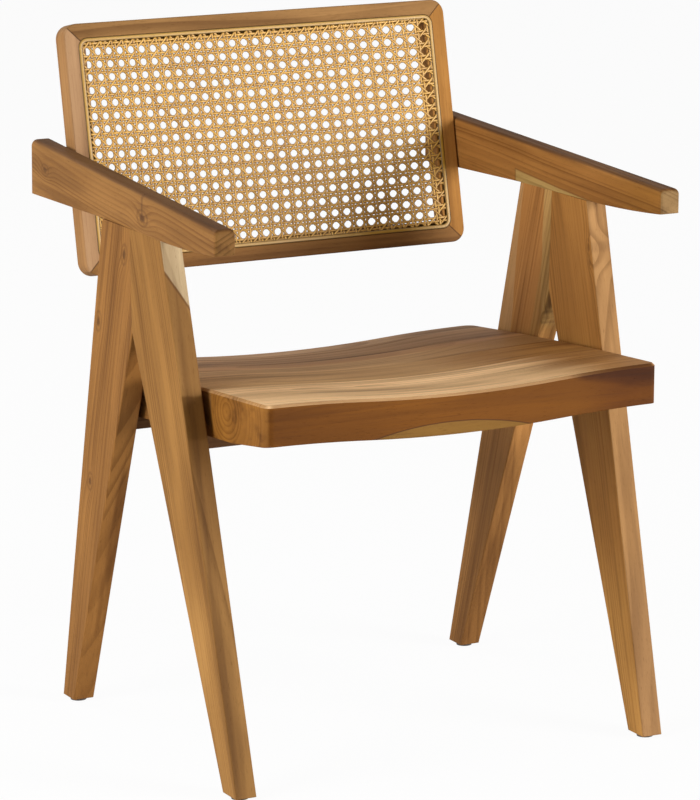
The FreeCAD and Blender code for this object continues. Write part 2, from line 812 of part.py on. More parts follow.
def rail_housing(place_name):
    """The flat-floored housing that a cross rail needs in the seat."""
    middle, under = RAILS[place_name]
    body = new_body(place_name + "_rail_housing")
    corners = tilted(middle, under, s.rail_width / 2 + s.fit_gap, -s.overrun, s.rail_height)
    cross_bar(body, place_name + "_rail_housing_bar", corners, s.seat_half_width + s.overrun)
    return body


def square_to_rail(item, start, up):
    """Stand an upright piece square to a cross rail, some way up from its underside."""
    across, along, height = start
    angle = slope_angle(s.seat_fall_share)
    item.Placement = FreeCAD.Placement(Vector(), FreeCAD.Rotation(Vector(1, 0, 0), -angle.value))
    item.setExpression("Placement.Rotation.Angle", "-" + angle.text)
    place(item, across, along + up * TILT_SIN, height + up * TILT_COS)
    return item


def screws(place_name):
    """Countersunk screws up through a cross rail into the seat, and the holes they need."""
    middle, under = RAILS[place_name]
    bodies = []
    bores = []
    for side_name, side in SIDES:
        start = (side * (s.seat_half_width - s.screw_inset), middle, under)
        label = place_name + "_" + side_name + "_screw"
        wide = s.screw_head_radius
        narrow = s.screw_shank_radius
        head = cone(label + "_head", start, wide, narrow, s.screw_head_height)
        shank = cylinder(label + "_shank", start, s.screw_length - s.screw_head_height, narrow)
        sink = cone(label + "_sink", start, wide + s.fit_gap, narrow + s.fit_gap, s.screw_head_height)
        hole = cylinder(label + "_hole", start, s.screw_length + s.end_gap, narrow + s.fit_gap)
        square_to_rail(head, start, ZERO)
        square_to_rail(shank, start, s.screw_head_height)
        square_to_rail(sink, start, ZERO)
        square_to_rail(hole, start, ZERO)
        bodies.append(fused(label, [head, shank]))
        bores.append(fused(label + "_bore", [sink, hole]))
    return bodies, bores


BACK_TILT = root(s.back_slope_share * s.back_slope_share + 1)
BACK_COS = 1 / BACK_TILT
BACK_SIN = s.back_slope_share / BACK_TILT
BACK_LENGTH = s.back_rise * BACK_TILT
LEDGE_INSET = s.groove_inset + s.spline_width + s.cane_rim + s.fit_gap * 3


def lean_back(item, low=(ZERO, ZERO, ZERO)):
    """Tilt a piece drawn flat into the plane of the back, from its low corner in that plane."""
    across, behind, up = low
    angle = slope_angle(s.back_slope_share)
    item.Placement = FreeCAD.Placement(Vector(), FreeCAD.Rotation(Vector(1, 0, 0), -angle.value))
    item.setExpression("Placement.Rotation.Angle", "-" + angle.text)
    along = back(s.back_foot_reach) + behind * BACK_COS + up * BACK_SIN
    place(item, across, along, s.leg_top - s.back_foot_drop - behind * BACK_SIN + up * BACK_COS)
    return item


def ring_outline(inset, radius):
    """Rounded outline at an inset from the back frame's outer edge."""
    wide = BACK_HALF_WIDTH - inset
    return rounded(-wide, inset, wide, BACK_LENGTH - inset, radius)


def tongue_corners(side, top, room):
    """Corners of one corner tongue square to its mitre, with room round it."""
    across = side * (BACK_HALF_WIDTH - s.tongue_inset)
    up = (BACK_LENGTH - s.tongue_inset) if top else s.tongue_inset
    diagonal = root(as_size(2))
    long_half = (s.tongue_half_length + room) / diagonal
    short_half = (s.tongue_half_width + room) / diagonal
    sign = side if top else -side
    spots = []
    for first, second in ((-1, -1), (1, -1), (1, 1), (-1, 1)):
        spots.append((
            across + first * long_half * sign + second * short_half * sign,
            up - first * long_half + second * short_half,
        ))
    return spots


CORNERS = [(side, top) for side in (-1, 1) for top in (False, True)]


def back_member(name, corners):
    """One mitred member of the back frame, with its groove, ledge and tongue slots."""
    body = new_body(name)
    outline = new_sketch(body, name + "_outline", "XZ_Plane")
    draw(outline, corners)
    pad(body, outline, name + "_board", s.back_thickness, backwards=True)

    def face_edge(edge):
        limits = edge.BoundBox
        flat = near(limits.YMin, limits.YMax)
        on_mitre = near(limits.XLength, limits.ZLength) and len(edge.Vertexes) == 2 and is_straight(edge)
        return flat and not on_mitre

    bevel_edges(body, name + "_edges", s.back_edge_bevel, face_edge)
    groove = new_sketch(body, name + "_groove_outline", "XZ_Plane", s.overrun)
    draw(groove, ring_outline(s.groove_inset, s.groove_corner))
    draw(groove, ring_outline(LEDGE_INSET, s.groove_corner - (LEDGE_INSET - s.groove_inset)))
    pocket(body, groove, name + "_groove", s.groove_depth + s.overrun)
    ledge = new_sketch(body, name + "_ledge_outline", "XZ_Plane", s.overrun)
    halfway = (s.groove_inset + LEDGE_INSET) / 2
    draw(ledge, ring_outline(halfway, s.groove_corner - (halfway - s.groove_inset)))
    pocket(body, ledge, name + "_ledge", s.ledge_depth + s.overrun)
    slots = new_sketch(body, name + "_slot_outline", "XZ_Plane", -s.tongue_depth)
    for side, top in CORNERS:
        draw(slots, tongue_corners(side, top, s.fit_gap))
    pocket(body, slots, name + "_slots", s.tongue_thickness)
    return lean_back(body)


def stile_corners(side):
    """Front-view corners of a stile, with half of each rounded corner."""
    wide = BACK_HALF_WIDTH
    bend = s.back_corner
    cut = bend - bend / root(as_size(2))
    inner = s.back_member
    left = side > 0
    return [
        (side * (wide - cut), cut, bend, left),
        (side * wide, bend),
        (side * wide, BACK_LENGTH - bend, bend, left),
        (side * (wide - cut), BACK_LENGTH - cut),
        (side * (wide - inner), BACK_LENGTH - inner),
        (side * (wide - inner), inner),
    ]


def rail_outline(top):
    """Front-view corners of the top or bottom rail of the back."""
    wide = BACK_HALF_WIDTH
    bend = s.back_corner
    cut = bend - bend / root(as_size(2))
    inner = s.back_member
    left = not top

    def up(height):
        return BACK_LENGTH - height if top else height

    return [
        (-wide + cut, up(cut), bend, left),
        (-wide + bend, up(ZERO)),
        (wide - bend, up(ZERO), bend, left),
        (wide - cut, up(cut)),
        (wide - inner, up(inner)),
        (-wide + inner, up(inner)),
    ]


def ring_wire(inset, radius, depth):
    """A rounded outline of the back as a wire of numbers at a depth behind the face."""
    wide = BACK_HALF_WIDTH.value - inset
    low = inset
    high = BACK_LENGTH.value - inset
    share = 1 - math.sqrt(0.5)
    edges = []
    for across, inward in ((-wide, 1), (wide, -1)):
        for up, upward in ((low, 1), (high, -1)):
            start = Vector(across + inward * radius, depth, up)
            half = Vector(across + inward * radius * share, depth, up + upward * radius * share)
            end = Vector(across, depth, up + upward * radius)
            edges.append(Part.Arc(start, half, end).toShape())
    for up in (low, high):
        edges.append(Part.makeLine(Vector(-wide + radius, depth, up), Vector(wide - radius, depth, up)))
    for across in (-wide, wide):
        edges.append(Part.makeLine(Vector(across, depth, low + radius), Vector(across, depth, high - radius)))
    return Part.Wire(Part.__sortEdges__(edges))


def octagon(across, up, half, cut, depth):
    """One hole of the cane as a wire: a square hole with cut corners."""
    spots = (
        (half, half - cut), (half - cut, half), (cut - half, half), (-half, half - cut),
        (-half, cut - half), (cut - half, -half), (half - cut, -half), (half, cut - half),
    )
    corners = [Vector(across + first, depth, up + second) for first, second in spots]
    return Part.makePolygon(corners + corners[:1])


def cane():
    """The webbing: one holed face made thick, with its rim turned down into the groove."""
    rim_inset = (s.groove_inset + s.spline_width + s.fit_gap * 2).value
    rim_corner = s.groove_corner.value - (rim_inset - s.groove_inset.value)
    rim = s.cane_rim.value
    face_depth = s.ledge_depth.value - s.cane_thickness.value
    field = rim_inset + rim + s.cane_margin.value
    columns = int(s.cane_columns.value)
    rows = int(s.cane_rows.value)
    wide = BACK_HALF_WIDTH.value - field
    pitch_across = wide * 2 / columns
    pitch_up = (BACK_LENGTH.value - field * 2) / rows
    half = min(pitch_across, pitch_up) * s.cane_hole_share.value / 2
    cut = half * 2 * s.cane_corner_share.value
    holes = []
    for row in range(rows):
        for column in range(columns):
            across = -wide + pitch_across * (column + 0.5)
            up = field + pitch_up * (row + 0.5)
            holes.append(octagon(across, up, half, cut, face_depth))
    outer = ring_wire(rim_inset, rim_corner, face_depth)
    net = Part.Face([outer] + holes, "Part::FaceMakerBullseye")
    plate = net.extrude(Vector(0, s.cane_thickness.value, 0))
    inside = ring_wire(rim_inset + rim, rim_corner - rim, face_depth)
    band = Part.Face([outer, inside], "Part::FaceMakerBullseye")
    turned = band.extrude(Vector(0, s.groove_depth.value - face_depth, 0))
    item = doc.addObject("Part::Feature", "cane_panel")
    item.Shape = plate.fuse(turned).removeSplitter()
    return lean_back(item)


def spline():
    """The strip pressed into the groove over the cane's rim."""
    body = new_body("cane_spline")
    sketch = new_sketch(body, "spline_outline", "XZ_Plane", s.spline_proud)
    inset = s.groove_inset + s.fit_gap
    corner = s.groove_corner - s.fit_gap
    draw(sketch, ring_outline(inset, corner))
    draw(sketch, ring_outline(inset + s.spline_width, corner - s.spline_width))
    pad(body, sketch, "spline_strip", s.spline_proud + s.groove_depth, backwards=True)

    def showing(edge):
        limits = edge.BoundBox
        return near(limits.YMin, limits.YMax) and limits.YMax < 0

    bevel_edges(body, "spline_edges", s.spline_bevel, showing)
    return lean_back(body)


def corner_tongue(number, side, top):
    """A loose tongue in one of the back frame's mitres."""
    body = new_body("corner_tongue_" + str(number))
    sketch = new_sketch(body, body.Name + "_outline", "XZ_Plane", -s.tongue_depth)
    draw(sketch, tongue_corners(side, top, ZERO))
    pad(body, sketch, body.Name + "_plate", s.tongue_thickness, backwards=True)
    return lean_back(body)


def back_tenon(side_name, side):
    """A loose tenon between an arm and its back stile, in the plane of the back."""
    length = s.back_tenon_in + s.back_tenon_out
    inner = BACK_HALF_WIDTH - s.back_tenon_in
    first = inner if side > 0 else -(inner + length)
    low = (first, s.back_tenon_depth, s.back_tenon_low)
    size = (length, s.back_tenon_thickness, s.back_tenon_height)
    piece, mortise = tenon(side_name + "_back_tenon", low, size)
    lean_back(piece, low)
    lean_back(mortise, tuple(value - s.fit_gap for value in low))
    return piece, mortise


def glide(name, side, along):
    """A round glide with a square nail into the foot, and the nail's hole."""
    across = side * (leg_inner(s.glide_height) + s.leg_thickness / 2)
    disc = cylinder(name + "_disc", (across, along, ZERO), s.glide_height, s.glide_radius)
    half = s.glide_nail_width / 2
    start = (across - half, along - half, s.glide_height / 2)
    sizes = (s.glide_nail_width, s.glide_nail_width, s.glide_height / 2 + s.glide_nail_length)
    nail, hole = tenon(name + "_nail", start, sizes)
    return fused(name, [disc, nail]), hole


housings = [rail_housing("front"), rail_housing("rear")]
mortises = {"front": rail_mortise("front"), "rear": rail_mortise("rear")}
front_screws, front_bores = screws("front")
rear_screws, rear_bores = screws("rear")

arm_tenons = []
seam_tenons = []
back_tenons = []
glides = []
for side_name, side in SIDES:
    pairs = leg_tenons(side_name, side)
    arm_pair = back_tenon(side_name, side)
    front_glide = glide(side_name + "_front_glide", side, front((s.front_toe_reach + s.front_heel_reach) / 2))
    rear_glide = glide(side_name + "_rear_glide", side, back((s.rear_toe_reach + s.rear_heel_reach) / 2))
    cut_out(
        side_name + "_front_leg",
        leg(side_name + "_front_leg", side, FRONT_LEG),
        [pairs["front"][1], pairs["seam"][1], mortises["front"], front_glide[1]],
    )
    cut_out(
        side_name + "_rear_leg",
        leg(side_name + "_rear_leg", side, REAR_LEG),
        [pairs["rear"][1], pairs["seam"][1], mortises["rear"], rear_glide[1]],
    )
    cut_out(
        side_name + "_arm",
        arm_blank(side_name + "_arm", side),
        [pairs["front"][1], pairs["rear"][1], arm_pair[1]],
    )
    stile_name = "back_" + side_name + "_stile"
    cut_out(stile_name, back_member(stile_name + "_blank", stile_corners(side)), [arm_pair[1]])
    arm_tenons += [pairs["front"][0], pairs["rear"][0]]
    seam_tenons.append(pairs["seam"][0])
    back_tenons.append(arm_pair[0])
    glides += [front_glide[0], rear_glide[0]]

cut_out("front_seat_rail", cross_rail("front_seat_rail", "front"), front_bores)
cut_out("rear_seat_rail", cross_rail("rear_seat_rail", "rear"), rear_bores)

first_joint = SEAT_FRONT + SEAT_RUN * s.front_board_share
second_joint = first_joint + SEAT_RUN * s.second_board_share
third_joint = second_joint + SEAT_RUN * s.third_board_share
tongues = [
    seat_tongue("front_seat_tongue", first_joint),
    seat_tongue("middle_seat_tongue", second_joint),
    seat_tongue("rear_seat_tongue", third_joint),
]
seat_cuts = housings + [pair[1] for pair in tongues] + front_bores + rear_bores
front_blank = seat_board("seat_front_board", SEAT_FRONT, first_joint, front_edge=True)
cut_out("seat_front_board", front_blank, seat_cuts)
cut_out("seat_second_board", seat_board("seat_second_board", first_joint, second_joint), seat_cuts)
cut_out("seat_third_board", seat_board("seat_third_board", second_joint, third_joint), seat_cuts)
cut_out("seat_rear_board", seat_board("seat_rear_board", third_joint, SEAT_REAR, rear_edge=True), seat_cuts)

finish(back_member("back_top_rail", rail_outline(True)), "back_top_rail")
finish(back_member("back_bottom_rail", rail_outline(False)), "back_bottom_rail")
finish(cane(), "cane_panel")
finish(spline(), "cane_spline")
corner_pieces = [corner_tongue(number, side, top) for number, (side, top) in enumerate(CORNERS, 1)]
finish(group("back_corner_tongues", corner_pieces), "back_corner_tongues")
finish(group("seat_tongues", [pair[0] for pair in tongues]), "seat_tongues")
finish(group("foot_glides", glides), "foot_glides")
finish(group("arm_leg_tenons", arm_tenons), "arm_leg_tenons")
finish(group("leg_seam_tenons", seam_tenons), "leg_seam_tenons")
finish(group("arm_back_tenons", back_tenons), "arm_back_tenons")
finish(group("seat_screws", front_screws + rear_screws), "seat_screws")

doc.recompute()
for item in doc.Objects:
    if "Invalid" in item.State or "Error" in item.State:
        raise RuntimeError("feature not built: " + item.Name)
for node in NODES:
    shape = node.Shape
    if shape.isNull() or not shape.isValid() or not shape.Solids:
        raise RuntimeError("piece not sound: " + node.Label)
    shape.exportStep(os.path.join("parts", node.Label + ".step"))
    limits = shape.BoundBox
    print(node.Label, len(shape.Solids), round(shape.Volume / 1000, 1), [
        round(value, 1) for value in (
            limits.XMin, limits.XMax, limits.YMin, limits.YMax, limits.ZMin, limits.ZMax,
        )
    ])
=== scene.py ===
"""A low lounge chair with a caned back: its finishes, woven cane, light and camera.

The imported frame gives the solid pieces. This script dresses them in wood, plastic and steel,
weaves the cane and its spline in place of the plain sheet and strip, and sets the studio.
"""

import json
import logging
import math
from dataclasses import dataclass, field
from enum import Enum
from typing import Iterable, Optional, Union

import bmesh
import bpy
import numpy as np
from mathutils import Matrix, Vector

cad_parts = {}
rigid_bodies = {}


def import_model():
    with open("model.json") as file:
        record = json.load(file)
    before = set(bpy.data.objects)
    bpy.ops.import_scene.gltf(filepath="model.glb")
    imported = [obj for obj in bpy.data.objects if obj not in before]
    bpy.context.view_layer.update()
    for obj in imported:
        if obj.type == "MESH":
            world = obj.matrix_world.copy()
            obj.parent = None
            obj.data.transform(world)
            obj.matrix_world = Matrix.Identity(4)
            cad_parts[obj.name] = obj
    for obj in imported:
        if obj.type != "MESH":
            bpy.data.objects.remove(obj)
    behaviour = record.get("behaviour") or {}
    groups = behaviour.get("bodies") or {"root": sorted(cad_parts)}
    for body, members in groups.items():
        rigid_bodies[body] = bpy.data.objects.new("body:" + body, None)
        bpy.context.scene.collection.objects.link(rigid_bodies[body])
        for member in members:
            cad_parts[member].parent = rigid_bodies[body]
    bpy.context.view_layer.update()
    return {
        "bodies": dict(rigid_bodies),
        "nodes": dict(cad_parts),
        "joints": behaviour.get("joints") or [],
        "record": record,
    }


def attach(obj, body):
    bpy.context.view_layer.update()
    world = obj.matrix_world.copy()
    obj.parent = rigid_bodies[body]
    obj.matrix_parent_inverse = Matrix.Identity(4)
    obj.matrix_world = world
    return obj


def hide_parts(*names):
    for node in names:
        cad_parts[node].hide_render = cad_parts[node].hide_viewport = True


LOG = logging.getLogger("chair")

Pair = tuple[float, float]
Triple = tuple[float, float, float]
Number = Union[float, "Signal"]

UP: Triple = (0.0, 0.0, 1.0)
RIGHT: Triple = (1.0, 0.0, 0.0)
LEFT: Triple = (-1.0, 0.0, 0.0)
TO_REAR: Triple = (0.0, 1.0, 0.0)
TO_FRONT: Triple = (0.0, -1.0, 0.0)
DOWN: Triple = (0.0, 0.0, -1.0)


# Shader graphs


class Signal:
    """One output of a shader graph that adds and multiplies like a number.

    Args:
        graph: The graph that the output belongs to.
        socket: The output itself.
    """

    def __init__(self, graph: "Graph", socket: bpy.types.NodeSocket) -> None:
        """Hold the output and its graph."""
        self.graph = graph
        self.socket = socket

    def __add__(self, other: Number) -> "Signal":
        """Sum."""
        return self.graph.math("ADD", self, other)

    def __sub__(self, other: Number) -> "Signal":
        """Difference."""
        return self.graph.math("SUBTRACT", self, other)

    def __mul__(self, other: Number) -> "Signal":
        """Product."""
        return self.graph.math("MULTIPLY", self, other)

    def __truediv__(self, other: Number) -> "Signal":
        """Quotient."""
        return self.graph.math("DIVIDE", self, other)

    def __pow__(self, other: Number) -> "Signal":
        """Power."""
        return self.graph.math("POWER", self, other)

    def root(self) -> "Signal":
        """Square root."""
        return self.graph.math("SQRT", self)

    def fraction(self) -> "Signal":
        """Part after the point."""
        return self.graph.math("FRACT", self)

    def size(self) -> "Signal":
        """Value without its sign."""
        return self.graph.math("ABSOLUTE", self)

    def exponential(self) -> "Signal":
        """Natural exponential."""
        return self.graph.math("EXPONENT", self)

    def step(self, low: float, high: float) -> "Signal":
        """Smooth step from 0 at low to 1 at high.

        Args:
            low: Value that gives 0.
            high: Value that gives 1, which may be the smaller of the two.

        Returns:
            The stepped output.
        """
        turned = low > high
        ends = {
            "Value": self,
            "From Min": min(low, high),
            "From Max": max(low, high),
            "To Min": 1.0 if turned else 0.0,
            "To Max": 0.0 if turned else 1.0,
        }
        return self.graph.signal("Result", "ShaderNodeMapRange", ends, interpolation_type="SMOOTHSTEP")


class Graph:
    """The shader graph of a material or of the world, built from Python expressions.

    Args:
        owner: The material or world, whose graph is cleared.
    """

    def __init__(self, owner: Union[bpy.types.Material, bpy.types.World]) -> None:
        """Clear the owner's graph."""
        owner.use_nodes = True
        self.tree = owner.node_tree
        self.tree.nodes.clear()

    def node(self, kind: str, inputs: Optional[dict] = None, **settings: object) -> bpy.types.Node:
        """Add a node.

        Args:
            kind: The node's type.
            inputs: Values or outputs for its sockets, by name or number.
            **settings: Its settings, which are set first.

        Returns:
            The new node.
        """
        made = self.tree.nodes.new(kind)
        for key, value in settings.items():
            setattr(made, key, value)
        for key, value in (inputs or {}).items():
            self.feed(made.inputs[key], value)
        return made

    def signal(
        self, output: Union[str, int], kind: str, inputs: Optional[dict] = None, **settings: object
    ) -> Signal:
        """Add a node and return one of its outputs."""
        return Signal(self, self.node(kind, inputs, **settings).outputs[output])

    def feed(self, socket: bpy.types.NodeSocket, value: object) -> None:
        """Link an output to an input, or set the input's own value.

        Args:
            socket: The input.
            value: An output, a number, a vector or a colour.
        """
        if isinstance(value, Signal):
            self.tree.links.new(value.socket, socket)
        elif isinstance(value, tuple) and socket.type == "RGBA":
            socket.default_value = (*value, 1.0)
        else:
            socket.default_value = value

    def math(self, operation: str, *values: Number) -> Signal:
        """A Math node on one or two values."""
        return self.signal("Value", "ShaderNodeMath", dict(enumerate(values)), operation=operation)

    def dot(self, first: Signal, second: Triple) -> Signal:
        """Dot product of a vector output and a fixed vector."""
        return self.signal("Value", "ShaderNodeVectorMath", {0: first, 1: second}, operation="DOT_PRODUCT")

    def distance(self, first: Signal, second: Triple) -> Signal:
        """Distance from a vector output to a fixed point."""
        return self.signal("Value", "ShaderNodeVectorMath", {0: first, 1: second}, operation="DISTANCE")

    def vector(self, across: Number, along: Number, up: Number) -> Signal:
        """A vector from three values."""
        return self.signal("Vector", "ShaderNodeCombineXYZ", {0: across, 1: along, 2: up})

    def place(self) -> Signal:
        """Object coordinates in metres."""
        return self.signal("Object", "ShaderNodeTexCoord")

    def facing(self) -> Signal:
        """Surface normal."""
        return self.signal("Normal", "ShaderNodeNewGeometry")

    def attribute(self, name: str) -> Signal:
        """A number stored on the mesh."""
        return self.signal("Fac", "ShaderNodeAttribute", attribute_name=name, attribute_type="GEOMETRY")

    def noise(self, where: Signal, scale: float = 1.0, detail: float = 2.0, rough: float = 0.5) -> Signal:
        """Noise from 0 to 1 over a vector."""
        inputs = {"Vector": where, "Scale": scale, "Detail": detail, "Roughness": rough}
        return self.signal("Fac", "ShaderNodeTexNoise", inputs, noise_dimensions="3D")

    def mix(self, first: object, second: object, share: Number, way: str = "MIX") -> Signal:
        """Mix two colours.

        Args:
            first: The colour at a share of 0.
            second: The colour that is mixed in.
            share: How much of it.
            way: How it is mixed: MIX for a blend, MULTIPLY for a shade.

        Returns:
            The mixed colour.
        """
        inputs = {0: share, 6: first, 7: second}
        return self.signal(2, "ShaderNodeMix", inputs, data_type="RGBA", blend_type=way, clamp_factor=True)

    def shade(self, colour: object, shade: "Shade", share: Number) -> Signal:
        """Multiply a colour by a shade, by the given share."""
        return self.mix(colour, shade.value, share, "MULTIPLY")


class Skin(Graph):
    """The graph of a solid material, with one surface shader.

    Args:
        name: Name of the new material.
        specular: Strength of the surface's mirror-like reflection.
    """

    def __init__(self, name: str, specular: float = 0.5) -> None:
        """Make the material with its shader and output."""
        self.material = bpy.data.materials.new(name)
        super().__init__(self.material)
        self.shader = self.node("ShaderNodeBsdfPrincipled", {"Specular IOR Level": specular})
        self.node("ShaderNodeOutputMaterial", {"Surface": Signal(self, self.shader.outputs["BSDF"])})

    def surface(self, colour: object, roughness: Number, metallic: float = 0.0) -> None:
        """Set the surface's colour, roughness and metal share.

        Args:
            colour: Its colour.
            roughness: Its roughness.
            metallic: Its share of metal.
        """
        self.feed(self.shader.inputs["Base Color"], colour)
        self.feed(self.shader.inputs["Roughness"], roughness)
        self.feed(self.shader.inputs["Metallic"], metallic)

    def relief(self, height: Signal, depth: float, rounding: float = 0.0) -> None:
        """Bump the surface by a height.

        Args:
            height: Height from 0 to 1.
            depth: Depth of the relief in metres.
            rounding: Radius by which sharp edges look softened, in metres, or 0 for none.
        """
        inputs = {"Strength": 1.0, "Distance": depth, "Height": height}
        if rounding:
            inputs["Normal"] = self.signal("Normal", "ShaderNodeBevel", {"Radius": rounding}, samples=4)
        self.feed(self.shader.inputs["Normal"], self.signal("Normal", "ShaderNodeBump", inputs))


# Wood


class Shade(Enum):
    """What a wood's light and dark parts do to the colour under them."""

    LIGHT = (1.36, 1.42, 1.50)
    DARK = (0.45, 0.38, 0.32)
    PORE = (0.25, 0.18, 0.14)


class Tone(Enum):
    """Colours that several boards share."""

    SAPWOOD = (0.390, 0.285, 0.160)
    YELLOW_SAPWOOD = (0.34, 0.22, 0.070)
    # Dark lines round sapwood and in cracks, and also painted shade on the arms' upward faces
    DARK_LINE_AND_TOP_SHADE = (0.115, 0.050, 0.016)
    LINE = (0.050, 0.018, 0.006)
    DUSK = (0.440, 0.230, 0.094)
    PLAIN = (0.56, 0.38, 0.21)


@dataclass(frozen=True)
class Knot:
    """A knot that runs through a board.

    Args:
        place: Where its core meets the board's face, in metres.
        radius: Radius of its core in metres.
        depth: How dark the core is, from 0 to 1.
    """

    place: Triple
    radius: float
    depth: float = 0.8

    STRETCH = 0.62
    REACH = 2.6
    PUSH = 1.7
    CORE_FADE = (1.15, 0.35)
    CORE_ROUGHNESS = 0.9
    BARK_MIDDLE = 1.5
    BARK_EDGE = 1.9
    BARK_SHARE = 0.45

    def distance(self, along: Signal, across: Signal, grain: Vector, face: Vector) -> Signal:
        """Distance from the core, longer across the grain than along it.

        Args:
            along: Place along the grain.
            across: Place across the face.
            grain: Direction of the grain.
            face: Direction across the face.

        Returns:
            The distance.
        """
        level = (along - grain.dot(Vector(self.place))) * self.STRETCH
        beside = across - face.dot(Vector(self.place))
        return (level ** 2.0 + beside ** 2.0).root()

    def push(self, distance: Signal) -> Signal:
        """How far the knot pushes the growth rings aside."""
        share = distance / (self.radius * self.REACH)
        return (share ** 2.0 * -1.0).exponential() * (self.radius * self.PUSH)

    def mark(self, distance: Signal, rough: Signal) -> Signal:
        """Darkness of the core and of the bark line round it.

        Args:
            distance: Distance from the core.
            rough: Noise that frays the core.

        Returns:
            The darkness from 0 to 1.
        """
        radius = self.radius
        ragged = distance + (rough - 0.5) * (radius * self.CORE_ROUGHNESS)
        heart = ragged.step(radius * self.CORE_FADE[0], radius * self.CORE_FADE[1])
        middle = radius * self.BARK_MIDDLE
        line = distance.step(radius * self.BARK_EDGE, middle) * distance.step(radius, middle)
        return heart * self.depth + line * (self.depth * self.BARK_SHARE)


@dataclass(frozen=True)
class Bound:
    """A soft plane: 0 on its near side, 1 past it.

    Args:
        toward: Direction of rising value.
        start: Distance along that direction where the value starts to rise, in metres.
        width: Distance over which it rises, in metres.
    """

    toward: Triple
    start: float
    width: float

    def share(self, graph: Graph, place: Signal, wobble: Signal) -> Signal:
        """Share at a place, with the plane moved by the wobble."""
        return (graph.dot(place, self.toward) + wobble).step(self.start, self.start + self.width)


@dataclass(frozen=True)
class Ball:
    """A soft ball: 1 inside it, 0 past its skin.

    Args:
        centre: Its middle in metres.
        radius: Its radius in metres.
        width: Thickness of its skin in metres.
    """

    centre: Triple
    radius: float
    width: float

    def share(self, graph: Graph, place: Signal, wobble: Signal) -> Signal:
        """Share at a place, with the skin moved by the wobble."""
        return (graph.distance(place, self.centre) + wobble).step(self.radius, self.radius - self.width)


@dataclass(frozen=True)
class Tint:
    """A region of other colour: sapwood, a dark line, a face's own tone, and in places painted shade.

    Args:
        colour: Colour of the region.
        amount: Share of that colour in the mix.
        bounds: Soft planes and balls that limit the region.
        facing: Direction that the tinted faces look in, if only those are tinted.
        wave: How far the bounds wander, in metres.
    """

    colour: Triple
    amount: float = 1.0
    bounds: tuple[Union[Bound, Ball], ...] = ()
    facing: Optional[Triple] = None
    wave: float = 0.004

    FACING_STEP = (0.45, 0.85)

    def over(self, graph: Graph, colour: object, place: Signal, wobble: Signal) -> Signal:
        """Lay the region over a colour.

        Args:
            graph: The board's graph.
            colour: The colour under it.
            place: Place in metres.
            wobble: Noise that moves the bounds.

        Returns:
            The new colour.
        """
        share: Number = self.amount
        for bound in self.bounds:
            share = bound.share(graph, place, wobble * (self.wave * 2.0)) * share
        if self.facing is not None:
            share = graph.dot(graph.facing(), self.facing).step(*self.FACING_STEP) * share
        return graph.mix(colour, self.colour, share)


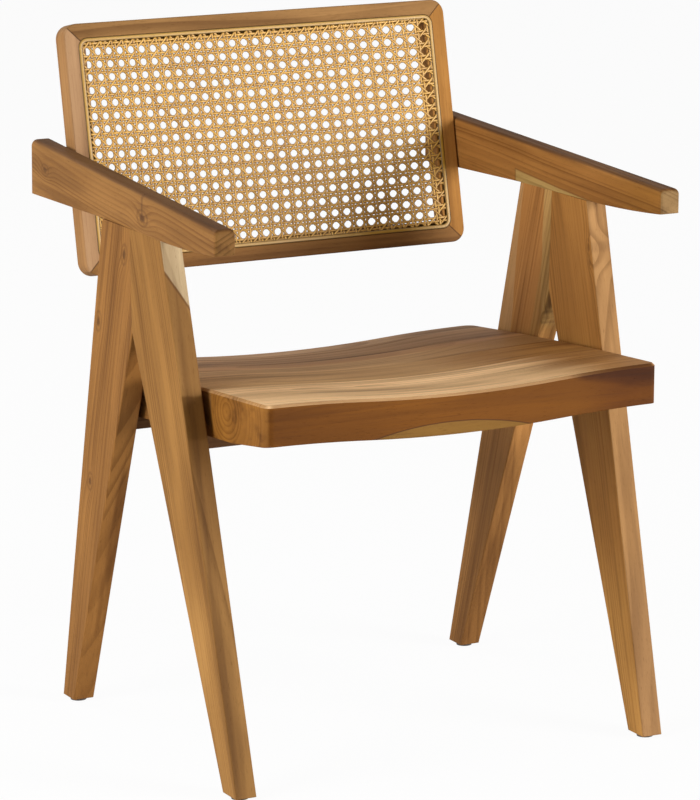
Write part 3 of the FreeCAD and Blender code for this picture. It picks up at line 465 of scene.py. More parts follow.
@dataclass(frozen=True)
class Board:
    """A piece of solid wood: how it was cut from its log, and its colours.

    Args:
        node: The CAD node that it covers.
        slot: The record's material slot, which is not used.
        colour: Its own colour.
        grain: Direction of the grain.
        face: Direction across its wide face, square to the grain.
        pith: Place of the log's middle across the face and through the board, in metres.
        seed: Shifts its noise.
        spacing: Width of a growth ring in metres.
        wander: How far the grain wanders, in metres.
        knots: Its knots.
        tints: Its regions of other colour.
        rings: Strength of the ring lines, from 0 to 1.
        streaks: Strength of the long dark streaks, from 0 to 1.
    """

    node: str
    slot: str
    colour: Triple
    grain: Triple
    face: Triple
    pith: Pair
    seed: float
    spacing: float = 0.0055
    wander: float = 0.010
    knots: tuple[Knot, ...] = ()
    tints: tuple[Tint, ...] = ()
    rings: float = 0.70
    streaks: float = 0.55

    SPECULAR = 0.10
    ROUGHNESS = 0.56
    RELIEF_DEPTH = 0.00016
    EDGE_ROUNDING = 0.0009
    # Rates of the noises per metre, along the grain and across it
    BEND_RATES = (2.2, 7.0)
    SINK_RATES = (1.7, 6.0)
    FIBRE_RATES = (10.0, 420.0)
    STREAK_RATES = (1.9, 62.0)
    CLOUD_RATES = (5.0, 16.0)
    BAND_RATES = (2.6, 30.0)
    PORE_RATES = (110.0, 1500.0)
    WOBBLE_RATES = (9.0, 40.0)
    KNOT_RATES = (260.0, 90.0)
    # How uneven the growth rings are, in width and in strength
    UNEVEN_RATES = (55.0, 0.6)
    UNEVEN_RINGS = 3.2
    STRENGTH_RATES = (0.37, 1.3)
    # Ends of the soft steps that pick out each feature
    LATE_RISE = (0.35, 0.93)
    LATE_FALL = (1.0, 0.94)
    STRENGTH_STEP = (0.25, 0.75)
    PORE_STEP = (0.62, 0.76)
    CLOUD_STEP = (0.62, 0.25)
    BAND_LIGHT_STEP = (0.50, 0.68)
    BAND_DARK_STEP = (0.48, 0.30)
    STREAK_STEP = (0.52, 0.72)
    FIBRE_LIGHT_STEP = (0.52, 0.86)
    FIBRE_DARK_STEP = (0.47, 0.18)
    END_STEP = (0.72, 0.93)
    # Shares of the light and dark shades
    CLOUD_LIGHT = 0.60
    BAND_SHARE = 0.45
    FIBRE_LIGHT = 0.40
    FIBRE_DARK = 0.45
    END_DARK = 0.16
    PORE_DARK = 0.30
    # Shares of fibre, pore, ring and knot in the relief, and of fibre, ring and pore in the roughness
    GROUND = 0.6
    RELIEF_SHARES = (0.35, 0.5, 0.25, 0.5)
    ROUGHNESS_SHARES = (0.16, 0.06, 0.12)

    def material(self) -> bpy.types.Material:
        """Solid wood: rings round the pith, fibres, streaks, pores, knots and tinted regions.

        Returns:
            The material.
        """
        graph = Skin("wood_" + self.node, self.SPECULAR)
        grain = Vector(self.grain).normalized()
        face = (Vector(self.face) - grain * grain.dot(Vector(self.face))).normalized()
        place = graph.place()
        along = graph.dot(place, tuple(grain))
        across = graph.dot(place, tuple(face))
        inward = graph.dot(place, tuple(grain.cross(face)))
        seed = self.seed

        def grained(length: float, width: float, detail: float = 2.0, rough: float = 0.5) -> Signal:
            """Noise stretched along the grain, with its rates per metre."""
            where = graph.vector(along * length + seed, across * width, inward * width - seed)
            return graph.noise(where, detail=detail, rough=rough)

        bent = across + (grained(*self.BEND_RATES, 1.0) - 0.5) * (self.wander * 2.0)
        sunk = inward + (grained(*self.SINK_RATES, 1.0) - 0.5) * (self.wander * 2.0)
        reach = ((bent - self.pith[0]) ** 2.0 + (sunk - self.pith[1]) ** 2.0).root()
        core: Optional[Signal] = None
        for knot in self.knots:
            distance = knot.distance(along, across, grain, face)
            reach = reach + knot.push(distance)
            fine, coarse = self.KNOT_RATES
            rough = graph.noise(graph.vector(along * fine, across * fine, inward * coarse + seed))
            mark = knot.mark(distance, rough)
            core = mark if core is None else graph.math("MAXIMUM", core, mark)

        outward, lengthwise = self.UNEVEN_RATES
        uneven = graph.noise(graph.vector(reach * outward, seed, along * lengthwise), detail=1.0)
        phase = reach / self.spacing + uneven * self.UNEVEN_RINGS
        turn = phase.fraction()
        late = turn.step(*self.LATE_RISE) * turn.step(*self.LATE_FALL)
        outward, lengthwise = self.STRENGTH_RATES
        strength = graph.noise(graph.vector(phase * outward, seed, along * lengthwise), detail=1.0)
        ring = late * strength.step(*self.STRENGTH_STEP) * self.rings

        fibre = grained(*self.FIBRE_RATES, 3.0, 0.6)
        streak = grained(*self.STREAK_RATES)
        cloud = grained(*self.CLOUD_RATES)
        length, width = self.BAND_RATES
        band = graph.noise(graph.vector(along * length - seed, bent * width, sunk * width), rough=0.6)
        pit = grained(*self.PORE_RATES, 1.0).step(*self.PORE_STEP)
        wobble = grained(*self.WOBBLE_RATES) - 0.5

        colour: object = self.colour
        for tint in self.tints:
            colour = tint.over(graph, colour, place, wobble)
        band_light = band.step(*self.BAND_LIGHT_STEP) * self.BAND_SHARE
        end = graph.dot(graph.facing(), tuple(grain)).size().step(*self.END_STEP)
        for shade, share in (
            (Shade.LIGHT, cloud.step(*self.CLOUD_STEP) * self.CLOUD_LIGHT + band_light),
            (Shade.DARK, band.step(*self.BAND_DARK_STEP) * self.BAND_SHARE),
            (Shade.DARK, ring),
            (Shade.DARK, streak.step(*self.STREAK_STEP) * self.streaks),
            (Shade.LIGHT, fibre.step(*self.FIBRE_LIGHT_STEP) * self.FIBRE_LIGHT),
            (Shade.DARK, fibre.step(*self.FIBRE_DARK_STEP) * self.FIBRE_DARK),
            (Shade.DARK, end * self.END_DARK),
            (Shade.PORE, pit * self.PORE_DARK),
        ):
            colour = graph.shade(colour, shade, share)
        raised, pitted, grooved, hollow = self.RELIEF_SHARES
        height = fibre * raised - pit * pitted - ring * grooved + self.GROUND
        if core is not None:
            colour = graph.mix(colour, Tone.LINE.value, core)
            height = height - core * hollow
        fibres, rings, pores = self.ROUGHNESS_SHARES
        graph.surface(colour, fibre * fibres + ring * rings + pit * pores + self.ROUGHNESS)
        graph.relief(height, self.RELIEF_DEPTH, self.EDGE_ROUNDING)
        return graph.material


# Other finishes


@dataclass(frozen=True)
class SplitCane:
    """Split cane or reed: satin, streaked along its length, each strand with its own tone and painted edge
    shade.

    Args:
        name: Name of the material.
        light: Colour of a light strand.
        dark: Colour of a dark strand.
    """

    name: str
    light: Triple
    dark: Triple

    ROUGHNESS = 0.34
    RELIEF_DEPTH = 0.00008
    # Darkness of the streaks, of the painted shade at each strand's edges and of the joints, and its share
    # in the mix
    STREAK_SHADOW = (0.42, 0.42)
    EDGE_SHADOW = (0.26, 0.92)
    JOINT_SHADOW = (0.45, 0.35)

    def shadow(self, share: float) -> Triple:
        """The dark colour, darkened to a share of itself."""
        return tuple(value * share for value in self.dark)

    def material(self) -> bpy.types.Material:
        """The finish on meshes that carry the run, tone and side of each strand.

        Returns:
            The material.
        """
        graph = Skin(self.name)
        run, tone, side = (graph.attribute(name) for name in ("run", "tone", "side"))
        streak = graph.noise(graph.vector(run * 30.0, side * 2.6, tone * 91.0))
        patch = graph.noise(graph.vector(run * 9.0, 0.0, tone * 57.0), detail=1.0)
        joint = graph.noise(graph.vector(run * 14.0, 3.0, tone * 33.0), detail=0.0).step(0.79, 0.86)
        colour = graph.mix(self.light, self.dark, tone * 0.45 + patch.step(0.35, 0.75) * 0.40)
        for (darkness, share), where in (
            (self.STREAK_SHADOW, streak.step(0.58, 0.80)),
            # Painted shade: each strand darkened towards its edges, where it turns from the light and meets
            # its neighbours
            (self.EDGE_SHADOW, side.size().step(0.30, 0.96)),
            (self.JOINT_SHADOW, joint),
        ):
            colour = graph.mix(colour, self.shadow(darkness), where * share)
        graph.surface(colour, streak * 0.22 + self.ROUGHNESS)
        graph.relief(streak * 0.7 - joint * 0.3 + 0.3, self.RELIEF_DEPTH)
        return graph.material


@dataclass(frozen=True)
class MouldedPlastic:
    """Moulded plastic with a fine grain and scuffs.

    Args:
        name: Name of the material.
        colour: Its colour where it isn't worn.
    """

    name: str
    colour: Triple

    GRAIN_RATE = 1800.0
    SCUFF_RATE = 240.0
    ROUGHNESS = 0.42
    RELIEF_DEPTH = 0.00003
    EDGE_ROUNDING = 0.0004

    def material(self) -> bpy.types.Material:
        """The finish.

        Returns:
            The material.
        """
        graph = Skin(self.name)
        grain = graph.noise(graph.place(), self.GRAIN_RATE)
        scuff = graph.noise(graph.place(), self.SCUFF_RATE, 4.0, 0.7).step(0.56, 0.72)
        worn = tuple(value * 1.9 + 0.02 for value in self.colour)
        roughness = grain * 0.2 + scuff * 0.15 + self.ROUGHNESS
        graph.surface(graph.mix(self.colour, worn, scuff * 0.5 + grain * 0.15), roughness)
        graph.relief(grain, self.RELIEF_DEPTH, self.EDGE_ROUNDING)
        return graph.material


@dataclass(frozen=True)
class ZincSteel:
    """Zinc-coated steel with a drawn grain and dull stains.

    Args:
        name: Name of the material.
        bright: Its clean colour.
        dull: The colour of its stains.
    """

    name: str
    bright: Triple = (0.62, 0.60, 0.56)
    dull: Triple = (0.42, 0.39, 0.34)

    GRAIN_RATE = 900.0
    STAIN_RATE = 160.0
    ROUGHNESS = 0.25
    RELIEF_DEPTH = 0.00002

    def material(self) -> bpy.types.Material:
        """The finish.

        Returns:
            The material.
        """
        graph = Skin(self.name)
        grain = graph.noise(graph.place(), self.GRAIN_RATE, 3.0)
        stain = graph.noise(graph.place(), self.STAIN_RATE).step(0.5, 0.75)
        roughness = grain * 0.25 + stain * 0.1 + self.ROUGHNESS
        graph.surface(graph.mix(self.bright, self.dull, stain), roughness, 1.0)
        graph.relief(grain, self.RELIEF_DEPTH)
        return graph.material


def dress(frame: dict, node: str, material: bpy.types.Material) -> None:
    """Give a CAD node its material.

    Args:
        frame: The loaded frame.
        node: Name of the node.
        material: Its material.
    """
    shown = frame["nodes"][node]
    shown.data.materials.clear()
    shown.data.materials.append(material)
    LOG.info("dressed %s", node)


def dress_boards(frame: dict, boards: Iterable[Board]) -> None:
    """Give each board's node its wood."""
    for board in boards:
        dress(frame, board.node, board.material())


def added(name: str, data: bpy.types.ID) -> bpy.types.Object:
    """Put a mesh, light or camera in the scene.

    Args:
        name: Name of the object.
        data: Its mesh, light or camera.

    Returns:
        The new object.
    """
    made = bpy.data.objects.new(name, data)
    bpy.context.scene.collection.objects.link(made)
    return made


# The two sides


@dataclass(frozen=True)
class SideFrames:
    """The splayed legs and the plank arms of both sides.

    Args:
        front_grain: Direction of the front legs' grain.
        rear_grain: Direction of the rear legs' grain.
        arm_grain: Direction of the arms' grain.
        leg_front: Direction that the front legs' front faces look in.
    """

    front_grain: Triple = (0.0, 0.3007, 0.9537)
    rear_grain: Triple = (0.0, -0.2645, 0.9644)
    arm_grain: Triple = (0.0, 1.0, 0.0365)
    leg_front: Triple = (0.0, -0.9613, 0.2756)

    def leg(self, name: str, colour: Triple, pith: Pair, seed: float, **details: object) -> Board:
        """A leg, with the grain along it."""
        grain = self.front_grain if name.endswith("front_leg") else self.rear_grain
        return Board(name, "side_wood", colour, grain, TO_REAR, pith, seed, **details)

    def left_legs(self) -> list[Board]:
        """The left legs. The front one has a sapwood patch at its top and the seat's shadow painted on its
        front.

        Returns:
            The boards.
        """
        patch: Triple = (0.85, 0.0, 0.53)
        shadow = (Bound(TO_REAR, -0.200, 0.050), Bound(DOWN, -0.4390, 0.004))
        front = self.leg(
            "left_front_leg", (0.240, 0.111, 0.027), (0.05, 0.34), 1.3,
            tints=(
                Tint((0.220, 0.109, 0.031), 0.85, facing=self.leg_front),
                # Painted shadow: the seat's shadow on the front face, below the seat's top
                Tint((0.100, 0.040, 0.006), 0.75, shadow, self.leg_front, 0.004),
                Tint((0.345, 0.172, 0.048), 0.80, (Bound(DOWN, -0.28, 0.12),), LEFT, 0.02),
                Tint(Tone.DARK_LINE_AND_TOP_SHADE.value, 0.75, (Bound(patch, 0.0575, 0.0015),), self.leg_front, 0.0015),
                Tint(Tone.SAPWOOD.value, 0.9, (Bound(patch, 0.0600, 0.0015),), self.leg_front, 0.0015),
            ),
        )
        rear = self.leg(
            "left_rear_leg", (0.230, 0.100, 0.024), (-0.03, 0.31), 5.1,
            knots=(
                Knot((-0.286, 0.000, 0.5724), 0.0050, 0.70),
                Knot((-0.284, 0.074, 0.482), 0.0050, 0.65),
                Knot((-0.2806, 0.108, 0.2855), 0.0045, 0.65),
            ),
        )
        return [front, rear]

    def right_legs(self) -> list[Board]:
        """The right legs. The rear one has sapwood along its rear edge and seam, and painted shade low down.

        Returns:
            The boards.
        """
        low = (Bound(DOWN, -0.24, 0.12),)
        front = self.leg(
            "right_front_leg", (0.292, 0.128, 0.029), (0.02, -0.36), 9.7,
            knots=(Knot((0.2605, -0.104, 0.552), 0.0040, 0.35), Knot((0.269, -0.108, 0.535), 0.0030, 0.35)),
            tints=(
                Tint((0.370, 0.180, 0.044), 0.65, low, LEFT, 0.02),
                Tint((0.310, 0.165, 0.062), 0.85, facing=self.leg_front),
                Tint((0.215, 0.108, 0.040), 0.80, low, self.leg_front, 0.02),
            ),
        )
        lower = Bound(DOWN, -0.36, 0.12)
        rear_edge = (Bound((0.0, 1.0, 0.12), 0.1209, 0.002), Bound(UP, 0.38, 0.06))
        seam = Bound(TO_FRONT, -0.003, 0.003)
        fork = (Bound((0.0, -1.0, -0.25), -0.1325, 0.003), Bound(UP, 0.40, 0.04))
        rear = self.leg(
            "right_rear_leg", (0.390, 0.175, 0.048), (0.01, -0.35), 12.9,
            knots=(Knot((0.2576, -0.006, 0.448), 0.0040, 0.8),),
            tints=(
                Tint((0.46, 0.27, 0.115), 0.65, rear_edge),
                Tint((0.42, 0.27, 0.095), 0.65, (seam,)),
                # Painted shade: the rear leg darkened low down, where the seat's shadow falls
                Tint((0.150, 0.065, 0.017), 0.75, (lower,), wave=0.02),
                Tint((0.30, 0.17, 0.050), 0.60, fork),
            ),
        )
        return [front, rear]

    def arms(self) -> list[Board]:
        """The arms, with painted shade on their tops. The left has a cracked knot, the right a sapwood edge.

        Returns:
            The boards.
        """
        crack = (Bound(TO_REAR, -0.0530, 0.002), Bound(TO_FRONT, 0.0460, 0.002), Bound(UP, 0.6225, 0.004))
        left = Board(
            "left_arm", "arm_wood", (0.232, 0.106, 0.028), self.arm_grain, UP, (0.30, -0.10), 17.1,
            wander=0.016,
            knots=(
                Knot((-0.2776, 0.2349, 0.631), 0.0045, 0.55),
                Knot((-0.287, -0.0505, 0.6225), 0.0060, 0.8),
            ),
            tints=(
                Tint(Tone.DARK_LINE_AND_TOP_SHADE.value, 0.6, crack, wave=0.003),
                Tint((0.187, 0.092, 0.024), 0.8, facing=TO_FRONT),
                # Painted shade: the upward face darkened as if the light fell low from the front
                Tint(Tone.DARK_LINE_AND_TOP_SHADE.value, 0.85, facing=UP),
            ),
        )
        below: Triple = (0.0, 0.0709, -1.0)
        outline = (Bound(below, -0.6150, 0.0015), Bound(TO_FRONT, -0.0680, 0.003))
        edge = (Bound(below, -0.6132, 0.0015), Bound(TO_FRONT, -0.0660, 0.003))
        right = Board(
            "right_arm", "arm_wood", (0.262, 0.111, 0.025), self.arm_grain, UP, (0.30, 0.10), 21.4,
            wander=0.014,
            tints=(
                Tint(Tone.DARK_LINE_AND_TOP_SHADE.value, 0.5, outline, wave=0.002),
                Tint(Tone.YELLOW_SAPWOOD.value, 0.8, edge, wave=0.002),
                Tint((0.190, 0.078, 0.012), 0.75, (Bound(TO_FRONT, 0.10, 0.12),), wave=0.02),
                Tint((0.22, 0.140, 0.060), 0.75, facing=TO_FRONT),
                # Painted shade: the upward face darkened as if the light fell low from the front
                Tint(Tone.DARK_LINE_AND_TOP_SHADE.value, 0.85, facing=UP),
            ),
        )
        return [left, right]

    def build(self, frame: dict) -> None:
        """Dress the legs and arms."""
        dress_boards(frame, self.left_legs() + self.right_legs() + self.arms())


# The seat


@dataclass(frozen=True)
class Seat:
    """The carved seat, glued up from four boards, and the two rails under it.

    Args:
        brown: Colour of the boards' sides and undersides.
        lens_centre: Middle of the ball whose skin limits the sapwood on the front face.
        lens_radius: Radius of that ball.
        outline: Width of the dark line round the sapwood.
        dusk_start: Y where the top turns to darker wood.
    """

    brown: Triple = (0.200, 0.085, 0.020)
    lens_centre: Triple = (-0.020, -0.2808, -0.0065)
    lens_radius: float = 0.417
    outline: float = 0.0012
    dusk_start: float = 0.001

    def board(self, name: str, pith: Pair, seed: float, **details: object) -> Board:
        """A seat board, with the grain across the chair."""
        return Board(name, "seat_wood", self.brown, RIGHT, TO_REAR, pith, seed, **details)

    def front_board(self) -> Board:
        """The front board: heart at its left end, sapwood along its lower front edge.

        Returns:
            The board.
        """
        lens = Ball(self.lens_centre, self.lens_radius, 0.0010)
        rim = Ball(self.lens_centre, self.lens_radius + self.outline, 0.0010)
        streak = (Bound((0.10, 0.0, 1.0), 0.4500, 0.012), Bound(RIGHT, 0.08, 0.05))
        chip = Ball((0.1725, -0.0990, 0.4310), 0.0050, 0.0020)
        return self.board(
            "seat_front_board", (-0.187, 0.424), 33.5, spacing=0.0075, wander=0.012,
            tints=(
                Tint((0.810, 0.520, 0.260), 0.97, facing=UP),
                Tint((0.310, 0.125, 0.022), 0.88, (Bound(RIGHT, 0.095, 0.110),), UP, 0.03),
                Tint((0.120, 0.0390, 0.0028), 0.98, facing=TO_FRONT),
                Tint((0.235, 0.095, 0.0150), 0.95, facing=LEFT),
                Tint((0.086, 0.0245, 0.0014), 0.85, (Bound(RIGHT, 0.130, 0.080),), TO_FRONT, 0.02),
                Tint((0.040, 0.010, 0.0015), 0.85, streak, TO_FRONT, 0.020),
                Tint(Tone.LINE.value, 0.8, (rim,), TO_FRONT, 0.001),
                Tint((0.172, 0.083, 0.015), 0.9, (lens,), TO_FRONT, 0.001),
                Tint((0.85, 0.75, 0.60), 0.9, (chip,), UP, 0.004),
            ),
        )

    def boards(self) -> list[Board]:
        """The seat's four boards.

        Returns:
            The boards.
        """
        second = self.board(
            "seat_second_board", (-0.12, 0.30), 37.7,
            tints=(
                Tint((0.500, 0.286, 0.116), 0.97, facing=UP),
                Tint((0.265, 0.110, 0.020), 0.85, (Bound(RIGHT, 0.030, 0.120),), UP, 0.03),
            ),
        )
        dusk_edge = Bound((-0.03, 1.0, 0.0), self.dusk_start, 0.003)
        third = self.board(
            "seat_third_board", (0.02, 0.32), 41.9, streaks=0.85,
            tints=(
                Tint((0.530, 0.310, 0.135), 0.97, facing=UP),
                Tint((0.330, 0.155, 0.040), 0.70, (Bound(RIGHT, 0.060, 0.120),), UP, 0.03),
                Tint(Tone.DUSK.value, 0.9, (dusk_edge,), UP, 0.002),
            ),
        )
        rear = self.board(
            "seat_rear_board", (0.12, 0.30), 46.3, streaks=0.9, rings=0.7,
            tints=(
                Tint((0.370, 0.198, 0.082), 0.97, facing=UP),
                Tint((0.56, 0.340, 0.180), 0.6, (Bound(TO_REAR, 0.112, 0.004),), UP, 0.004),
            ),
        )
        return [self.front_board(), second, third, rear]

    def rails(self) -> list[Board]:
        """The two rails, coloured dark as painted shade under the seat.

        Returns:
            The boards.
        """
        # Painted shade: the rails' colour is darkened for the shade under the seat
        colour: Triple = (0.12, 0.055, 0.020)
        return [
            Board("front_seat_rail", "rail_wood", colour, RIGHT, TO_REAR, (0.01, 0.42), 25.8),
            Board("rear_seat_rail", "rail_wood", colour, RIGHT, TO_REAR, (0.02, 0.40), 29.2),
        ]

    def build(self, frame: dict) -> None:
        """Dress the seat and its rails."""
        dress_boards(frame, self.boards() + self.rails())


# The caned back


@dataclass(frozen=True)
class BackPlane:
    """Plane of the back frame's face.

    Args:
        foot_y: Y of its lower edge, in metres.
        foot_z: Height of its lower edge, in metres.
        slope: Run to the rear per rise.
        rise: Height of the frame, in metres.
        half_width: Half its width, in metres.
    """

    foot_y: float = 0.1740
    foot_z: float = 0.5128
    slope: float = 0.2239
    rise: float = 0.2872
    half_width: float = 0.252

    @property
    def length(self) -> float:
        """Length of the frame along the slope."""
        return self.rise * math.hypot(1.0, self.slope)

    @property
    def upward(self) -> Vector:
        """Direction up the slope."""
        return Vector((0.0, self.slope, 1.0)).normalized()

    @property
    def inward(self) -> Vector:
        """Direction into the frame, away from the sitter."""
        return Vector((0.0, 1.0, -self.slope)).normalized()

    @property
    def corner(self) -> Vector:
        """Middle of the lower edge."""
        return Vector((0.0, self.foot_y, self.foot_z))

    def matrix(self) -> Matrix:
        """Turns (across, up the slope, depth) into a place in the scene.

        Returns:
            The matrix.
        """
        turned = Matrix((Vector(RIGHT), self.upward, self.inward)).transposed().to_4x4()
        turned.translation = self.corner
        return turned


@dataclass(frozen=True)
class Webbing:
    """Layout of the cane webbing, in metres.

    Holes stand in columns and rows. Two strands run between neighbouring columns and between
    neighbouring rows, and slanting strands cross midway between neighbouring holes. The whole
    is pulled a little out of square, as it was when it was pressed into the groove.
    """

    plane: BackPlane
    first_column: float = -0.2230
    column_pitch: float = 0.01350
    column_growth: float = 0.000060
    column_drift: float = 0.00033
    columns: int = 30
    first_row: float = 0.0038
    row_pitch: float = 0.015125
    row_rise: float = 0.000089
    rows: int = 19
    pair_half_gap: float = 0.00195
    strand_width: float = 0.0030
    slant_width: float = 0.0028
    strand_thickness: float = 0.00042
    crown: float = 0.00034
    pull_left: float = -0.0012
    pull_right: float = 0.0024
    pull_middle: float = 0.0042
    sag: float = 0.0034
    depth: float = 0.00092
    pair_swing: float = 0.00030
    slant_swing: float = 0.00042
    waver: float = 0.00010
    edge: float = 0.0202
    pair_widths: Pair = (0.93, 1.06)
    slant_widths: Pair = (0.92, 1.06)

    DRIFT_POINTS = 9
    SLANT_STEP = 0.125
    CROSSING = 0.142
    STEPS = (-0.5, -0.30, -0.22, -CROSSING, -0.07, 0.0, 0.07, CROSSING, 0.22, 0.30)

    def across(self, column: np.ndarray, row: np.ndarray) -> np.ndarray:
        """X of a column and a row, whole numbers at the holes."""
        level = self.first_column + self.column_pitch * column + self.column_growth * column * np.abs(column)
        return level + self.column_drift * (self.rows - 2.0 - row)

    def upward(self, row: np.ndarray, column: np.ndarray) -> np.ndarray:
        """Distance up the slope of a row and a column, whole numbers at the holes."""
        return self.first_row + self.row_pitch * row + self.row_rise * column

    def stretched(self, path: np.ndarray) -> np.ndarray:
        """Pull a path out of square.

        Args:
            path: The path.

        Returns:
            The pulled path.
        """
        side = path[:, 0] / (self.plane.half_width - self.edge)
        rise = path[:, 1] / self.plane.length * 2.0 - 1.0
        middle = np.clip(1.0 - side**2, 0.0, 1.0)
        shift = self.pull_left + (self.pull_right - self.pull_left) * (side + 1.0) / 2.0
        pulled = path.copy()
        pulled[:, 0] += shift + self.pull_middle * middle * np.clip(1.0 - rise**2, 0.0, 1.0)
        pulled[:, 1] -= self.sag * middle
        return pulled

    def within(self, path: np.ndarray) -> np.ndarray:
        """Which points of a path lie inside the groove."""
        wide = np.abs(path[:, 0]) < self.plane.half_width - self.edge
        return wide & (path[:, 1] > self.edge) & (path[:, 1] < self.plane.length - self.edge)

    def swing(self, offset: np.ndarray) -> np.ndarray:
        """Height near a crossing: up at one strand of the pair and down at the other."""
        scaled = offset / self.CROSSING
        return -scaled * np.exp((1.0 - scaled**2) / 2.0)

    def drift(self, steps: np.ndarray, chance: np.random.Generator) -> np.ndarray:
        """A strand's slow sideways wander."""
        points = np.linspace(steps[0], steps[-1], self.DRIFT_POINTS)
        return np.interp(steps, points, chance.normal(0.0, self.waver, self.DRIFT_POINTS))

    def pairs(self, upright: bool, seed: int) -> "Ribbons":
        """The paired strands.

        Args:
            upright: Whether these are the upright strands or the level ones.
            seed: Seed of their small differences.

        Returns:
            The strands.
        """
        chance = np.random.default_rng(seed)
        made = Ribbons(self)
        lines = self.columns + 1 if upright else self.rows
        cells = self.rows + 1 if upright else self.columns + 1
        steps = (np.arange(-1, cells + 1)[:, None] + 0.5 + np.array(self.STEPS)[None, :]).ravel()
        near = steps - np.floor(steps) - 0.5
        for line in range(lines):
            for hand in (-1, 1):
                drift = self.drift(steps, chance)
                lift = self.swing(near) * hand * (1 if upright else -1) * self.pair_swing
                if upright:
                    column = np.full(len(steps), line - 0.5)
                    across = self.across(column, steps) + hand * self.pair_half_gap + drift
                    path = np.stack((across, self.upward(steps, column), self.depth - lift), axis=1)
                else:
                    row = np.full(len(steps), line + 0.5)
                    upward = self.upward(row, steps) + hand * self.pair_half_gap + drift
                    path = np.stack((self.across(steps, row), upward, self.depth - lift), axis=1)
                width = self.strand_width * chance.uniform(*self.pair_widths)
                made.add(self.stretched(path), width, chance.uniform())
        return made

    def slants(self, rising: bool, seed: int) -> "Ribbons":
        """The slanting strands of one direction.

        Args:
            rising: Whether they rise to the right.
            seed: Seed of their small differences.

        Returns:
            The strands.
        """
        chance = np.random.default_rng(seed)
        made = Ribbons(self)
        hand = 1 if rising else -1
        first, last = (-self.rows - 2, self.columns + 2) if rising else (-2, self.columns + self.rows + 2)
        row = np.arange(-1.0, self.rows + 1.0, self.SLANT_STEP)
        swing = -np.cos(2.0 * math.pi * row) * hand * self.slant_swing
        for number in range(first, last):
            column = number + 0.5 + hand * row
            across = self.across(column, row) + self.drift(row, chance)
            path = np.stack((across, self.upward(row, column), self.depth - swing), axis=1)
            width = self.slant_width * chance.uniform(*self.slant_widths)
            made.add(self.stretched(path), width, chance.uniform())
        return made


class Ribbons:
    """Flat strands gathered in one mesh.

    Args:
        webbing: The webbing that they belong to.
    """

    ACROSS = 3
    FEWEST = 4

    def __init__(self, webbing: Webbing) -> None:
        """Start an empty mesh with a layer for each stored number."""
        self.webbing = webbing
        self.shell = bmesh.new()
        self.layers = {name: self.shell.verts.layers.float.new(name) for name in ("tone", "run", "side")}

    def add(self, path: np.ndarray, width: float, tone: float) -> None:
        """Bend a strip along a path, where that lies inside the groove.

        Args:
            path: Rows of (across, up the slope, depth) in metres.
            width: Width of the strand in metres.
            tone: Its own tone from 0 to 1.
        """
        path = path[self.webbing.within(path)]
        last = len(path) - 1
        if last < self.FEWEST:
            return
        ahead = np.gradient(path[:, :2], axis=0)
        ahead /= np.linalg.norm(ahead, axis=1, keepdims=True)
        run = np.concatenate(([0.0], np.cumsum(np.linalg.norm(np.diff(path, axis=0), axis=1))))
        strip = bmesh.ops.create_grid(self.shell, x_segments=last, y_segments=self.ACROSS, size=1.0)
        for vertex in strip["verts"]:
            step = round((vertex.co.x + 1.0) / 2.0 * last)
            side = vertex.co.y
            reach = side * width / 2.0
            height = self.webbing.crown * (1.0 - side * side)
            vertex.co = (
                path[step, 0] - ahead[step, 1] * reach,
                path[step, 1] + ahead[step, 0] * reach,
                path[step, 2] - height,
            )
            vertex[self.layers["tone"]] = tone
            vertex[self.layers["run"]] = run[step]
            vertex[self.layers["side"]] = side

    def finish(self, name: str, material: bpy.types.Material) -> bpy.types.Object:
        """Give the strands their thickness and put them on the back.

        Args:
            name: Name of the piece.
            material: Its material.

        Returns:
            The new object.
        """
        bmesh.ops.solidify(self.shell, geom=self.shell.faces[:], thickness=-self.webbing.strand_thickness)
        return finished(self.shell, name, material, self.webbing.plane.matrix())


def finished(
    shell: bmesh.types.BMesh, name: str, material: bpy.types.Material, matrix: Matrix
) -> bpy.types.Object:
    """Place a mesh, point its faces outwards and make it an object.

    Args:
        shell: The mesh, which is freed.
        name: Name of the piece.
        material: Its material.
        matrix: Where the mesh goes.

    Returns:
        The new object.
    """
    bmesh.ops.transform(shell, matrix=matrix, verts=shell.verts)
    bmesh.ops.recalc_face_normals(shell, faces=shell.faces)
    for face in shell.faces:
        face.smooth = True
    mesh = bpy.data.meshes.new(name)
    shell.to_mesh(mesh)
    shell.free()
    mesh.materials.append(material)
    made = added(name, mesh)
    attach(made, "root")
    LOG.info("built %s: %d faces", name, len(mesh.polygons))
    return made


